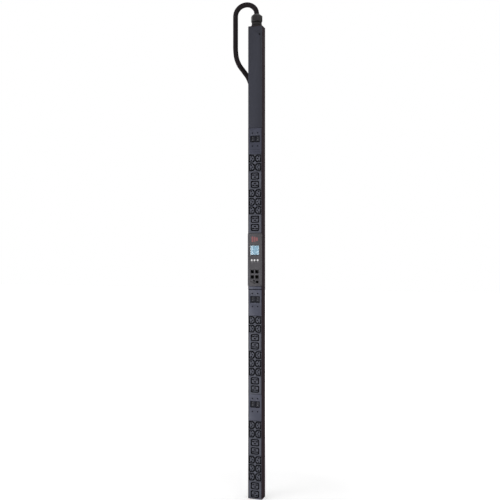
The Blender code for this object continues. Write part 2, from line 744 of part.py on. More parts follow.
def build_sockets(maker, face, port):
    """The four network jacks in one block, the sensor jack and the service port with its tongue."""
    back = JACK_BACK - JACK_WALL / 2
    bm = bmesh.new()
    add_box(bm, *jack_block_box())
    made = maker.add("network_jack_block", bm, port)
    tool = bmesh.new()
    for across in JACK_COLUMNS:
        for height in JACK_ROWS:
            add_prism(tool, rectangle(*JACK_OPENING, (across, height)), face - JACK_WALL, back, in_depth)
    maker.combine(made, tool)
    pieces = (
        ("sensor_jack", SENSOR_JACK, SENSOR_BODY, SENSOR_OPENING),
        ("service_port", USB, USB_BODY, USB_OPENING),
    )
    for name, place, body, opening in pieces:
        bm = bmesh.new()
        add_prism(bm, rectangle(*body, place), face, JACK_BACK, in_depth)
        made = maker.add(name, bm, port)
        tool = bmesh.new()
        add_prism(tool, rectangle(*opening, place), face - JACK_WALL, back, in_depth)
        maker.combine(made, tool)
        if name == "service_port":
            tongue = bmesh.new()
            tip, root = face + USB_SET_BACK, (back + JACK_BACK) / 2
            add_prism(tongue, rectangle(*USB_TONGUE, place), tip, root, in_depth)
            maker.combine(made, tongue, "UNION")


def build_gland(maker, nylon, rubber):
    """The cable gland: body with thread and neck, sealing ring, domed hexagon nut and locknut."""
    top = BODY_HEIGHT
    place = lambda a, b, along: (a, CENTRE_DEPTH + b, top + along)
    neck, neck_top = GLAND_NECK
    flange, flange_top = GLAND_FLANGE
    corner, foot, crown = GLAND_NUT
    seal_wall = neck - GLAND_WALL
    seal_outer, dome_foot = GLAND_BORE + SEAL_WALL, crown - GLAND_NUT_DOME
    bm = bmesh.new()
    body = [
        (GLAND_BORE, -GLAND_THREAD_DOWN), (GLAND_THREAD, -GLAND_THREAD_DOWN), (GLAND_THREAD, GAP),
        (flange, GAP), (flange, flange_top), (neck, flange_top + GAP * 4), (neck, neck_top),
        (seal_wall, neck_top), (seal_wall, dome_foot), (seal_outer, dome_foot),
        (seal_outer, neck_top), (GLAND_BORE, neck_top),
    ]
    add_turned(bm, body, place, hollow=True)
    maker.add("gland_body", bm, nylon, smooth=True)
    bm = bmesh.new()
    ring = [
        (GLAND_BORE, neck_top + GAP), (seal_outer - GAP, neck_top + GAP),
        (seal_outer - GAP, dome_foot), (GLAND_BORE, dome_foot),
    ]
    add_turned(bm, ring, place, hollow=True)
    maker.add("gland_seal", bm, rubber, smooth=True)
    bm = bmesh.new()
    chamfer = GLAND_NUT_CHAMFER
    nut = [(corner - chamfer, foot), (corner, foot + chamfer), (corner, dome_foot)]
    nut += [(corner * share, crown - GLAND_NUT_DOME * below) for share, below in NUT_DOME_STEPS]
    add_turned(bm, nut, place, sides=6)
    made = maker.add("gland_nut", bm, nylon)
    tool = bmesh.new()
    shoulder = dome_foot + GAP
    bore = [
        (seal_wall + GAP, foot - chamfer), (seal_wall + GAP, shoulder), (GLAND_BORE, shoulder),
        (GLAND_BORE, crown + chamfer),
    ]
    add_turned(tool, bore, place)
    maker.combine(made, tool)
    bm = bmesh.new()
    wide, thick = LOCKNUT
    under = -TOP_PLATE - GAP
    inner = GLAND_THREAD + GAP
    ring = [(inner, under - thick), (wide, under - thick), (wide, under), (inner, under)]
    add_turned(bm, ring, place, hollow=True)
    maker.add("gland_locknut", bm, nylon, smooth=True)


def build_terminals(maker, plastic):
    """The supply terminal block on the back wall, with four wire holes."""
    width, deep, tall = TERMINAL
    back = BODY_DEPTH - WALL - GAP
    bm = bmesh.new()
    low = (-width / 2, back - deep, TERMINAL_HEIGHT - tall / 2)
    add_box(bm, low, (width / 2, back, TERMINAL_HEIGHT + tall / 2))
    made = maker.add("terminal_block", bm, plastic)
    tool = bmesh.new()
    for i in range(TERMINAL_HOLES):
        across = width * ((i + 0.5) / TERMINAL_HOLES - 0.5)
        middle = (across, back - deep / 2)
        hole = rectangle(TERMINAL_HOLE, TERMINAL_HOLE, middle)
        add_prism(tool, hole, TERMINAL_HEIGHT, TERMINAL_HEIGHT + tall, upward)
    maker.combine(made, tool)


def build_pegs(maker, plated):
    """The two shouldered pegs that hang the strip in the keyholes of a rack."""
    base_end = PEG_BASE + GAP
    profile = [
        (PEG_BASE_RADIUS, GAP), (PEG_BASE_RADIUS, base_end), (PEG_SHANK_RADIUS, base_end),
        (PEG_SHANK_RADIUS, PEG_STANDOFF - PEG_HEAD), (PEG_HEAD_RADIUS, PEG_STANDOFF - PEG_HEAD),
        (PEG_HEAD_RADIUS, PEG_STANDOFF),
    ]
    for name, height in (("lower", LOWER_PEG_HEIGHT), ("upper", LOWER_PEG_HEIGHT + PEG_SPACING)):
        bm = bmesh.new()
        add_turned(bm, profile, lambda a, b, along: (a, BODY_DEPTH + along, height + b), sides=16)
        maker.add(f"{name}_mounting_peg", bm, plated, smooth=True)


def smooth_route(points, step):
    """Points every step along a smooth curve through the route's points."""
    points = [Vector(p) for p in points]
    line = [points[0]]
    padded = [2 * points[0] - points[1], *points, 2 * points[-1] - points[-2]]
    for a, b, c, d in zip(padded, padded[1:], padded[2:], padded[3:]):
        count = max(1, round((c - b).length / step))
        for i in range(1, count + 1):
            t = i / count
            tangents = (c - a) * 0.5, (d - b) * 0.5
            line.append(
                b * (2 * t**3 - 3 * t**2 + 1) + tangents[0] * (t**3 - 2 * t**2 + t)
                + c * (-2 * t**3 + 3 * t**2) + tangents[1] * (t**3 - t**2)
            )
    return line


def build_cord(maker, jacket):
    """The cord's tube from the gland to the hank."""
    start = Vector((0, CENTRE_DEPTH, BODY_HEIGHT))
    line = [start + p for p in smooth_route(CORD_ROUTE, CORD_STEP)]
    curve = bpy.data.curves.new("power_cord", "CURVE")
    curve.dimensions = "3D"
    curve.bevel_depth = CORD_DIAMETER / 2
    curve.bevel_resolution = 3
    curve.use_fill_caps = True
    spline = curve.splines.new("POLY")
    spline.points.add(len(line) - 1)
    for point, place in zip(spline.points, line):
        point.co = (*place, 1)
    curve.materials.append(jacket)
    made = bpy.data.objects.new("power_cord", curve)
    bpy.context.scene.collection.objects.link(made)
    made.parent = maker.body


def hank_frame():
    """Turns hank coordinates, along the fold, sideways and up, into the body's own."""
    back = Vector((-math.sin(HANK_TURN), math.cos(HANK_TURN), 0))
    side = Vector((math.cos(HANK_TURN), math.sin(HANK_TURN), 0))
    start = Vector((0, CENTRE_DEPTH, 0)) + back * HANK_AWAY
    return lambda along, across, height: start + back * along + side * across + Vector((0, 0, height))


def hank_outline():
    """The hank from its side: long runs, round ends, and a flat lead at each near corner."""
    half = CORD_DIAMETER / 2 + GAP
    middle, radius = HANK_FOLD / 2, HANK_FOLD / 2 + half
    low, high = HANK_TOP - HANK_RUN, HANK_TOP
    start = math.acos((middle - half) / radius)
    angles = [(math.pi - start) * i / HANK_ROUND for i in range(HANK_ROUND + 1)]
    lower = [(middle + radius * math.cos(a), low - radius * math.sin(a)) for a in angles]
    upper = [(middle + radius * math.cos(a), high + radius * math.sin(a)) for a in reversed(angles)]
    near_top = [(-half, high + HANK_LEAD), (half, high + HANK_LEAD)]
    near_foot = [(half, low - HANK_LEAD), (-half, low - HANK_LEAD)]
    return near_top + upper + lower + near_foot


def build_hank(maker, jacket, strap):
    """The folded part of the cord as one solid, and the hook-and-loop tie around it."""
    place = hank_frame()
    bm = bmesh.new()
    add_prism(bm, hank_outline(), *HANK_SIDES, lambda a, b, s: place(a, s, b))
    maker.add("cord_hank", bm, jacket)
    half = CORD_DIAMETER / 2 + GAP
    middle = HANK_TOP - HANK_RUN / 2
    ends = (-half, HANK_FOLD + half)

    def band(grow):
        return [
            (ends[0] - grow, HANK_SIDES[0] - grow), (ends[1] + grow, HANK_SIDES[0] - grow),
            (ends[1] + grow, HANK_SIDES[1] + grow), (ends[0] - grow, HANK_SIDES[1] + grow),
        ]

    bm = bmesh.new()
    edges = (middle - TIE_WIDTH / 2, middle + TIE_WIDTH / 2)
    add_prism(bm, band(GAP + TIE_SHEET), *edges, place)
    made = maker.add("cord_tie", bm, strap)
    tool = bmesh.new()
    add_prism(tool, band(GAP), edges[0] - TIE_WIDTH, edges[1] + TIE_WIDTH, place)
    maker.combine(made, tool)


def build_plug(maker, nylon, metal):
    """The locking plug below the hank: shell with its cord grip, and the insert with its blades."""
    centre = hank_frame()
    top = HANK_TOP - HANK_RUN - HANK_LEAD - GAP
    place = lambda a, b, along: centre(a, b, top - along)
    bm = bmesh.new()
    neck_edge, neck_foot, shoulder_edge, shoulder_foot = PLUG_STEPS
    shell = [
        (PLUG_NECK - PLUG_TAPER, 0), (PLUG_NECK, neck_edge), (PLUG_NECK, neck_foot),
        (PLUG_RADIUS - PLUG_TAPER, shoulder_edge), (PLUG_RADIUS, shoulder_foot), (PLUG_RADIUS, PLUG_LENGTH),
    ]
    add_turned(bm, shell, place)
    maker.add("plug_shell", bm, nylon, smooth=True)
    radius, thick = PLUG_INSERT
    face = PLUG_LENGTH + GAP + thick
    bm = bmesh.new()
    add_turned(bm, [(radius, PLUG_LENGTH + GAP), (radius, face)], place)
    made = maker.add("plug_insert", bm, metal, smooth=True)
    tool = bmesh.new()
    wide, sheet, long = BLADE
    for i in range(BLADES):
        spin = Matrix.Rotation(2 * math.pi * i / BLADES, 2)
        corners = [spin @ Vector(corner) for corner in rectangle(sheet, wide, (BLADE_RING, 0))]
        add_prism(tool, [tuple(c) for c in corners], face - thick / 2, face + long, place)
    maker.combine(made, tool, "UNION")


def main():
    """Builds the power strip."""
    clear_scene()
    maker = Maker()
    steel = material("channel_paint", (0.045, 0.040, 0.045), 0.55, 0.2)
    paint = material("front_paint", (0.075, 0.075, 0.090), 0.5)
    plastic = material("outlet_plastic", (0.050, 0.050, 0.055), 0.45)
    black = material("black_plastic", (0.020, 0.020, 0.022), 0.5)
    white = material("button_rubber", (0.85, 0.85, 0.85), 0.6)
    glass = material("window_glass", (0.60, 0.75, 0.80), 0.1)
    screen = material("screen", (0.30, 0.50, 0.62), 0.3)
    board = material("board", (0.02, 0.16, 0.08), 0.5)
    copper = material("tinned_copper", (0.75, 0.62, 0.45), 0.3, 1.0)
    plated = material("plated_steel", (0.55, 0.55, 0.55), 0.3, 1.0)
    nylon = material("gland_nylon", (0.050, 0.048, 0.045), 0.5)
    jacket = material("cord_rubber", (0.055, 0.050, 0.050), 0.7)
    strap = material("tie_fabric", (0.02, 0.02, 0.02), 0.9)
    build_channel(maker, steel)
    build_ends(maker, steel)
    build_cover(maker, paint, plated)
    for number, (top, bezel) in enumerate(zip(BANK_TOPS, BREAKER_BEZELS), 1):
        low, high, window_centre = bezel
        build_bezel(maker, number, low, high, window_centre, paint)
        build_breakers(maker, number, window_centre, plastic, black)
        build_bank(maker, number, top, plastic)
        build_busbar(maker, f"line_busbar_{number}", "line", (top,), copper)
    build_busbar(maker, "neutral_busbar", "neutral", BANK_TOPS, copper)
    build_busbar(maker, "earth_busbar", "earth", BANK_TOPS, copper)
    build_display(maker, paint, glass, screen, board, black, white)
    build_gland(maker, nylon, black)
    build_terminals(maker, black)
    build_pegs(maker, plated)
    build_cord(maker, jacket)
    build_hank(maker, jacket, strap)
    build_plug(maker, black, plated)


main()
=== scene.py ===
"""The looks of a full-height rack power strip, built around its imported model.

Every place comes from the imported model's boxes. Local places are (across, depth behind the front face,
height above the bottom end), in metres, and a Datum turns them into the frame's own coordinates.
"""

import json
import logging
import math
from dataclasses import dataclass
from enum import Enum
from typing import Callable, Iterable, Sequence

import bmesh
import bpy
from mathutils import Matrix, Vector
from mathutils.geometry import tessellate_polygon


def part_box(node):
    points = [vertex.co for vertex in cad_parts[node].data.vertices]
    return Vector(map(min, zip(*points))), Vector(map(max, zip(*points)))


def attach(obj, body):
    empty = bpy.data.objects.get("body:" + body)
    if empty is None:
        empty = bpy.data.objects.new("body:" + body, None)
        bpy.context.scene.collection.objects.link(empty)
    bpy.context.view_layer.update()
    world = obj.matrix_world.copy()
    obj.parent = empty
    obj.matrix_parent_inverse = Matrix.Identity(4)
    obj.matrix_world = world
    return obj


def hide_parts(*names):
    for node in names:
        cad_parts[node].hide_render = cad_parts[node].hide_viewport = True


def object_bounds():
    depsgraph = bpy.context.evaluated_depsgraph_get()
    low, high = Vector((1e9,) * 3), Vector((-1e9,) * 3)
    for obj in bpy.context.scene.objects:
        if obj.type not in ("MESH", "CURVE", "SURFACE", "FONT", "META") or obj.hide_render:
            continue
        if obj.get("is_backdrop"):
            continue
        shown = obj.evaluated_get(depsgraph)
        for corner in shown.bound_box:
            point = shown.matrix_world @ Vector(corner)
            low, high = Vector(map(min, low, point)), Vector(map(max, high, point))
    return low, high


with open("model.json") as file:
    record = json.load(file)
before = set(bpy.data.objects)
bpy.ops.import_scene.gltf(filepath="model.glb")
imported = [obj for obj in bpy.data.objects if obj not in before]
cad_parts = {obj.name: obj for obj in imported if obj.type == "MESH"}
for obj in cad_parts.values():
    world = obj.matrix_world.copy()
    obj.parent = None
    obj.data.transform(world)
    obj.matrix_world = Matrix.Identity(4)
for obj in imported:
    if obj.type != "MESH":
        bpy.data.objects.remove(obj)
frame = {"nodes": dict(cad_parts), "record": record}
CAD_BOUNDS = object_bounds()

Point = tuple[float, float]
Outline = list[Point]
Colour = tuple[float, float, float]
Placer = Callable[[float, float, float], Vector]

LOG = logging.getLogger("power_strip")
SAME_PLACE = 1e-7
SHARP_EDGE = math.radians(40.0)


# ---------------------------------------------------------------- places


@dataclass(frozen=True)
class Datum:
    """Where the strip's body lies: its front face, its bottom end and its top end."""

    front: float
    foot: float
    top: float

    @classmethod
    def from_frame(cls) -> "Datum":
        """Reads the body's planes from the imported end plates."""
        low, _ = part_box("bottom_end_cap")
        return cls(low[1], low[2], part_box("top_end_plate")[1][2])

    def at(self, across: float, depth: float, height: float) -> Vector:
        """A local place as a point of the frame."""
        return Vector((across, self.front + depth, self.foot + height))

    def seen_from_front(self, across: float, height: float, depth: float) -> Vector:
        """Place for an outline drawn on the front face and extruded into the depth."""
        return self.at(across, depth, height)

    def local_box(self, node: str) -> tuple[Vector, Vector]:
        """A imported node's box in local places.

        Args:
            node: The node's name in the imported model.

        Returns:
            Its lowest and highest corners as (across, depth, height).
        """
        shift = Vector((0, self.front, self.foot))
        low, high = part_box(node)
        return Vector(low) - shift, Vector(high) - shift

    def middle(self, node: str) -> Point:
        """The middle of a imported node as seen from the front."""
        low, high = self.local_box(node)
        return (low.x + high.x) / 2, (low.z + high.z) / 2

    def outline(self, node: str, radius: float, grow: float = 0.0, steps: int = 3) -> Outline:
        """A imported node's box as seen from the front, with rounded corners.

        Args:
            node: The node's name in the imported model.
            radius: Radius of the corners.
            grow: How far the outline goes past the box on each side.
            steps: Segments in each corner.

        Returns:
            The outline, in places across and height.
        """
        low, high = self.local_box(node)
        width, tall = high.x - low.x + 2 * grow, high.z - low.z + 2 * grow
        return rounded(width, tall, self.middle(node), radius, steps)


# ---------------------------------------------------------------- outlines


def rectangle(width: float, tall: float, centre: Point = (0, 0)) -> Outline:
    """A plain rectangle about a centre."""
    x, z = width / 2, tall / 2
    return [(centre[0] + a, centre[1] + b) for a, b in ((-x, -z), (x, -z), (x, z), (-x, z))]


def soften(points: Sequence[Point], radius: float | Sequence[float], steps: int = 3) -> Outline:
    """Rounds each corner of an outline with an arc.

    Args:
        points: The corners, in order.
        radius: One radius, or one for each corner.
        steps: Segments in each arc.

    Returns:
        The outline with its corners rounded.
    """
    count = len(points)
    radii = [radius] * count if isinstance(radius, float) else list(radius)
    made: Outline = []
    for i, here in enumerate(points):
        corner = Vector(here)
        before = Vector(points[i - 1]) - corner
        after = Vector(points[(i + 1) % count]) - corner
        angle = before.angle(after)
        reach = min(radii[i] / math.tan(angle / 2), before.length * 0.49, after.length * 0.49)
        if reach < 1e-6:
            made.append(tuple(corner))
            continue
        true_radius = reach * math.tan(angle / 2)
        middle = corner + (before.normalized() + after.normalized()).normalized() * (
            true_radius / math.sin(angle / 2)
        )
        start = corner + before.normalized() * reach - middle
        sweep = math.pi - angle
        turn = 1 if before.x * after.y - before.y * after.x < 0 else -1
        for k in range(steps + 1):
            step = start.copy()
            step.rotate(Matrix.Rotation(turn * sweep * k / steps, 2))
            made.append(tuple(middle + step))
    return made


def rounded(width: float, tall: float, centre: Point, radius: float, steps: int = 3) -> Outline:
    """A rectangle with rounded corners about a centre."""
    return soften(rectangle(width, tall, centre), radius, steps)


def circle(radius: float, centre: Point = (0, 0), sides: int = 24) -> Outline:
    """A round outline about a centre."""
    angles = (2 * math.pi * i / sides for i in range(sides))
    return [(centre[0] + radius * math.cos(a), centre[1] + radius * math.sin(a)) for a in angles]


def area_of(outline: Sequence[Point]) -> float:
    """The signed area of an outline, positive when it runs anticlockwise."""
    ends = zip(outline, [*outline[1:], outline[0]])
    return sum(a[0] * b[1] - b[0] * a[1] for a, b in ends) / 2


def inset(outline: Outline, amount: float) -> Outline:
    """Moves an outline inwards.

    Args:
        outline: The outline.
        amount: How far each side moves, outwards when it is negative.

    Returns:
        The moved outline, with as many points as before.
    """
    turn = 1 if area_of(outline) > 0 else -1
    moved: Outline = []
    for i, here in enumerate(outline):
        before = (Vector(here) - Vector(outline[i - 1])).normalized()
        after = (Vector(outline[(i + 1) % len(outline)]) - Vector(here)).normalized()
        normal = Vector((-before.y, before.x)) + Vector((-after.y, after.x))
        if normal.length < 1e-9:
            moved.append(here)
            continue
        normal.normalize()
        across = Vector((-before.y, before.x)).dot(normal)
        shift = normal * (turn * amount / max(across, 0.35))
        moved.append((here[0] + shift.x, here[1] + shift.y))
    return moved


# ---------------------------------------------------------------- solids


class Solid:
    """Collects closed shapes in one mesh and turns them into an object."""

    def __init__(self) -> None:
        """Starts an empty mesh."""
        self.bm = bmesh.new()

    def _ring(self, points: Iterable[Vector]) -> list[bmesh.types.BMVert]:
        """Adds a ring of vertices."""
        return [self.bm.verts.new(p) for p in points]

    def _band(self, one: Sequence, two: Sequence) -> None:
        """Joins two rings with quads.

        Args:
            one: The first ring's vertices.
            two: The second ring's vertices, as many as the first one's.
        """
        for i in range(len(one)):
            j = (i + 1) % len(one)
            self.bm.faces.new((one[i], one[j], two[j], two[i]))

    def slab(
        self, outer: Outline, near: float, far: float, place: Placer, holes: Sequence[Outline] = (),
        edge: float = 0.0, back_edge: float = 0.0, steps: int = 2,
    ) -> "Solid":
        """Adds an outline with holes, extruded from near to far, with rounded edges at the near side.

        Args:
            outer: The outer outline.
            near: Where the extrusion starts, on its visible side.
            far: Where it ends.
            place: Turns (a, b, along) into a point.
            holes: Outlines of the holes through it.
            edge: Radius of the near edges.
            back_edge: Radius of the far edges.
            steps: Segments in each edge's arc.

        Returns:
            The solid itself.
        """
        way = 1 if far > near else -1
        stations: list[tuple[float, float]] = []
        for k in range(steps + 1 if edge else 1):
            angle = math.pi / 2 * k / steps
            stations.append((edge * (1 - math.sin(angle)), near + way * edge * (1 - math.cos(angle))))
        for k in range(steps + 1 if back_edge else 1):
            angle = math.pi / 2 * (1 - k / steps)
            rise = way * back_edge * (1 - math.cos(angle))
            stations.append((back_edge * (1 - math.sin(angle)), far - rise))
        columns = []
        for outline, sign in [(outer, 1), *((hole, -1) for hole in holes)]:
            rings = [
                self._ring(place(a, b, along) for a, b in inset(outline, sign * amount))
                for amount, along in stations
            ]
            for one, two in zip(rings, rings[1:]):
                self._band(one, two)
            columns.append((outline, rings))
        for index, amount in ((0, stations[0][0]), (-1, stations[-1][0])):
            flat, verts = [], []
            for (outline, rings), sign in zip(columns, [1] + [-1] * len(holes)):
                flat.append([Vector((a, b, 0)) for a, b in inset(outline, sign * amount)])
                verts.extend(rings[index])
            for triangle in tessellate_polygon(flat):
                corners = [verts[i] for i in triangle]
                if len(set(corners)) == 3 and not self.bm.faces.get(corners):
                    self.bm.faces.new(corners)
        return self

    def printed(
        self, outline: Outline, datum: Datum, face: float = 0.0, holes: Sequence[Outline] = (),
        proud: float = 0.00006, sunk: float = 0.0002,
    ) -> "Solid":
        """Adds a printed mark that stands a hair proud of a front face.

        Args:
            outline: The mark's outline.
            datum: The body's places.
            face: Depth of the face.
            holes: Outlines left out of it.
            proud: How far it stands out.
            sunk: How far it reaches into the face.

        Returns:
            The solid itself.
        """
        return self.slab(outline, face - proud, face + sunk, datum.seen_from_front, holes)

    def turned(
        self, profile: Sequence[Point], place: Placer, sides: int = 40, hollow: bool = False,
        shape: Callable[[float, float, float], float] | None = None,
    ) -> "Solid":
        """Adds a profile of (radius, along) turned about an axis.

        Args:
            profile: The profile's points, a closed ring when hollow.
            place: Turns (a, b, along) into a point.
            sides: How many sides the turned piece has.
            hollow: Whether the profile closes on itself.
            shape: Changes a radius, given (radius, angle, along), as for a hexagon or a grip.

        Returns:
            The solid itself.
        """
        rings = []
        for radius, along in profile:
            points = []
            for i in range(sides):
                angle = 2 * math.pi * i / sides
                true = shape(radius, angle, along) if shape else radius
                points.append(place(true * math.cos(angle), true * math.sin(angle), along))
            rings.append(self._ring(points))
        for one, two in zip(rings, rings[1:]):
            self._band(one, two)
        if hollow:
            self._band(rings[-1], rings[0])
        else:
            self.bm.faces.new(rings[0])
            self.bm.faces.new(rings[-1])
        return self

    def piece(
        self, name: str, tone: "Tone", body: str = "root", nodes: Sequence[str] = (),
        deep: "tuple[Tone, float] | None" = None,
    ) -> bpy.types.Object:
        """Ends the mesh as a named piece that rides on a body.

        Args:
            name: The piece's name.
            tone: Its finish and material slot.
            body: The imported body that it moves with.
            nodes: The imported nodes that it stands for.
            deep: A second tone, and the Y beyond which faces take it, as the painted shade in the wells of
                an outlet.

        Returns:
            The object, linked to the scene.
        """
        # Faces beyond the given Y take the second tone, painted shade in recesses.
        if deep:
            for face in self.bm.faces:
                face.material_index = int(face.calc_center_median().y > deep[1])
        bmesh.ops.remove_doubles(self.bm, verts=self.bm.verts, dist=SAME_PLACE)
        bmesh.ops.recalc_face_normals(self.bm, faces=self.bm.faces)
        mesh = bpy.data.meshes.new(name)
        self.bm.to_mesh(mesh)
        self.bm.free()
        mesh.shade_smooth()
        mesh.set_sharp_from_angle(angle=SHARP_EDGE)
        made = settle(bpy.data.objects.new(name, mesh), tone, body, nodes)
        if deep:
            mesh.materials.append(deep[0].material())
        return made


def settle(
    made: bpy.types.Object, tone: "Tone", body: str = "root", nodes: Sequence[str] = ()
) -> bpy.types.Object:
    """Links an object, gives it its tone, rides it on its body and hides the nodes that it stands for.

    Args:
        made: The object, not yet linked.
        tone: Its finish and material slot.
        body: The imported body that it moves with.
        nodes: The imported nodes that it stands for.

    Returns:
        The same object.
    """
    made.data.materials.append(tone.material())
    bpy.context.scene.collection.objects.link(made)
    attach(made, body)
    tone.slot
    if nodes:
        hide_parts(*nodes)
    LOG.info("%s made, standing for %s", made.name, ", ".join(nodes) or "no packed node")
    return made


# ---------------------------------------------------------------- finishes


def shade(red: int, green: int, blue: int) -> Colour:
    """A display colour from 0 to 255 as the linear colour that a shader takes."""
    shares = (value / 255 for value in (red, green, blue))
    return tuple(((v + 0.055) / 1.055) ** 2.4 if v > 0.04 else v / 12.92 for v in shares)


class Sheet:
    """A material under way: its Principled shader and short calls that add nodes to it."""

    def __init__(self, name: str, colour: Colour, roughness: float, metallic: float = 0.0) -> None:
        """Starts a material with plain values on the shader's own sockets.

        Args:
            name: The material's name.
            colour: The base colour, until a node takes it over.
            roughness: The roughness, until a node takes it over.
            metallic: 1 for metal, 0 for the rest.
        """
        self.material = bpy.data.materials.new(name)
        self.material.use_nodes = True
        self.tree = self.material.node_tree
        self.shader = self.tree.nodes["Principled BSDF"]
        self.set("Base Color", (*colour, 1))
        self.set("Roughness", roughness)
        self.set("Metallic", metallic)
        self.material.diffuse_color = (*colour, 1)
        self.space = self.node("ShaderNodeTexCoord").outputs["Object"]

    def set(self, socket: str, value: float | tuple) -> None:
        """Sets one of the shader's own sockets."""
        self.shader.inputs[socket].default_value = value

    def node(self, kind: str, **settings: object) -> bpy.types.Node:
        """Adds a node.

        Args:
            kind: The node's type.
            **settings: Properties to set on it.

        Returns:
            The node.
        """
        made = self.tree.nodes.new(kind)
        for name, value in settings.items():
            setattr(made, name, value)
        return made

    def link(self, source: bpy.types.NodeSocket, target: bpy.types.NodeSocket) -> None:
        """Joins two sockets."""
        self.tree.links.new(source, target)

    def stretched(self, scale: tuple[float, float, float]) -> bpy.types.NodeSocket:
        """Scales the object coordinates.

        Args:
            scale: How many times along each axis.

        Returns:
            The socket that carries them.
        """
        mapping = self.node("ShaderNodeMapping")
        mapping.inputs["Scale"].default_value = scale
        self.link(self.space, mapping.inputs["Vector"])
        return mapping.outputs["Vector"]

    def noise(
        self, scale: float, detail: float = 3.0, space: bpy.types.NodeSocket | None = None
    ) -> bpy.types.NodeSocket:
        """Adds cloudy noise.

        Args:
            scale: How many features lie along a metre.
            detail: How many finer layers it has.
            space: Its coordinates, the object's own when left out.

        Returns:
            The socket with its value.
        """
        made = self.node("ShaderNodeTexNoise")
        made.inputs["Scale"].default_value = scale
        made.inputs["Detail"].default_value = detail
        self.link(space or self.space, made.inputs["Vector"])
        return made.outputs["Fac"]

    def ramp(
        self, fac: bpy.types.NodeSocket, stops: Sequence[tuple[float, Colour]]
    ) -> bpy.types.NodeSocket:
        """Turns a value into a colour.

        Args:
            fac: The value.
            stops: Places from 0 to 1, each with its colour.

        Returns:
            The socket with the colour.
        """
        made = self.node("ShaderNodeValToRGB")
        elements = made.color_ramp.elements
        while len(elements) < len(stops):
            elements.new(0.5)
        for element, (place, colour) in zip(elements, stops):
            element.position = place
            element.color = (*colour, 1)
        self.link(fac, made.inputs["Fac"])
        return made.outputs["Color"]

    def mottled(
        self, colour: Colour, scale: float, detail: float, dark: Point, pale: Point
    ) -> bpy.types.NodeSocket:
        """Varies a colour in soft clouds.

        Args:
            colour: The colour.
            scale: How many clouds lie along a metre.
            detail: How many finer layers they have.
            dark: Where the dark end of the ramp lies, and how light it is.
            pale: The same for the pale end.

        Returns:
            The socket with the colour.
        """
        stops = [(place, lighter(colour, times)) for place, times in (dark, pale)]
        return self.ramp(self.noise(scale, detail), stops)

    def spread(self, fac: bpy.types.NodeSocket, low: float, high: float) -> bpy.types.NodeSocket:
        """Spreads a value from 0 to 1 between two limits.

        Args:
            fac: The value.
            low: What 0 becomes.
            high: What 1 becomes.

        Returns:
            The socket with the result.
        """
        made = self.node("ShaderNodeMapRange")
        made.inputs["To Min"].default_value = low
        made.inputs["To Max"].default_value = high
        self.link(fac, made.inputs["Value"])
        return made.outputs["Result"]

    def mix(
        self, fac: bpy.types.NodeSocket, one: bpy.types.NodeSocket | Colour, two: Colour
    ) -> bpy.types.NodeSocket:
        """Mixes two colours.

        Args:
            fac: How much of the second one shows.
            one: The first colour, or the socket with it.
            two: The second colour.

        Returns:
            The socket with the mixed colour.
        """
        made = self.node("ShaderNodeMix", data_type="RGBA")
        self.link(fac, made.inputs["Factor"])
        if isinstance(one, bpy.types.NodeSocket):
            self.link(one, made.inputs[6])
        else:
            made.inputs[6].default_value = (*one, 1)
        made.inputs[7].default_value = (*two, 1)
        return made.outputs[2]

    def edges(self, low: float, high: float) -> bpy.types.NodeSocket:
        """Finds outer edges, where a surface wears bright.

        Args:
            low: The pointiness at which the mask starts.
            high: The pointiness at which it is full.

        Returns:
            The socket with the mask.
        """
        pointed = self.node("ShaderNodeNewGeometry").outputs["Pointiness"]
        made = self.node("ShaderNodeMapRange")
        made.inputs["From Min"].default_value = low
        made.inputs["From Max"].default_value = high
        self.link(pointed, made.inputs["Value"])
        return made.outputs["Result"]

    def bump(self, height: bpy.types.NodeSocket, strength: float, distance: float) -> None:
        """Raises the surface, after any bump already there.

        Args:
            height: The socket with the height.
            strength: How strongly it shows.
            distance: How far the height reaches, in metres.
        """
        made = self.node("ShaderNodeBump")
        made.inputs["Strength"].default_value = strength
        made.inputs["Distance"].default_value = distance
        self.link(height, made.inputs["Height"])
        before = self.shader.inputs["Normal"]
        if before.is_linked:
            self.link(before.links[0].from_socket, made.inputs["Normal"])
        self.link(made.outputs["Normal"], before)

    def colour(self, source: bpy.types.NodeSocket) -> None:
        """Takes the base colour from a node."""
        self.link(source, self.shader.inputs["Base Color"])

    def roughness(self, source: bpy.types.NodeSocket) -> None:
        """Takes the roughness from a node."""
        self.link(source, self.shader.inputs["Roughness"])


def lighter(colour: Colour, times: float) -> Colour:
    """A colour made lighter, or darker when times is under 1."""
    return tuple(min(1.0, v * times) for v in colour)


@dataclass(frozen=True)
class PowderCoat:
    """Baked paint on sheet metal: a fine orange peel, faint speckle and rubbed edges."""

    name: str
    colour: Colour
    roughness: float = 0.42
    peel: float = 900.0
    wear: float = 1.45
    gloss: float = 0.25

    def build(self) -> bpy.types.Material:
        """Makes the material.

        Returns:
            The finished material.
        """
        sheet = Sheet(self.name, self.colour, self.roughness)
        cloud = sheet.mottled(self.colour, 26, 4, (0.3, 0.88), (0.72, 1.10))
        speck = sheet.ramp(sheet.noise(2600, 2), [(0.60, (0, 0, 0)), (0.72, (1, 1, 1))])
        flecked = sheet.mix(speck, cloud, lighter(self.colour, 1.30))
        sheet.colour(sheet.mix(sheet.edges(0.53, 0.62), flecked, lighter(self.colour, self.wear)))
        sheet.roughness(sheet.spread(sheet.noise(60, 5), self.roughness - 0.07, self.roughness + 0.10))
        sheet.bump(sheet.noise(self.peel, 2), 0.22, 0.00012)
        sheet.set("Specular IOR Level", self.gloss)
        return sheet.material


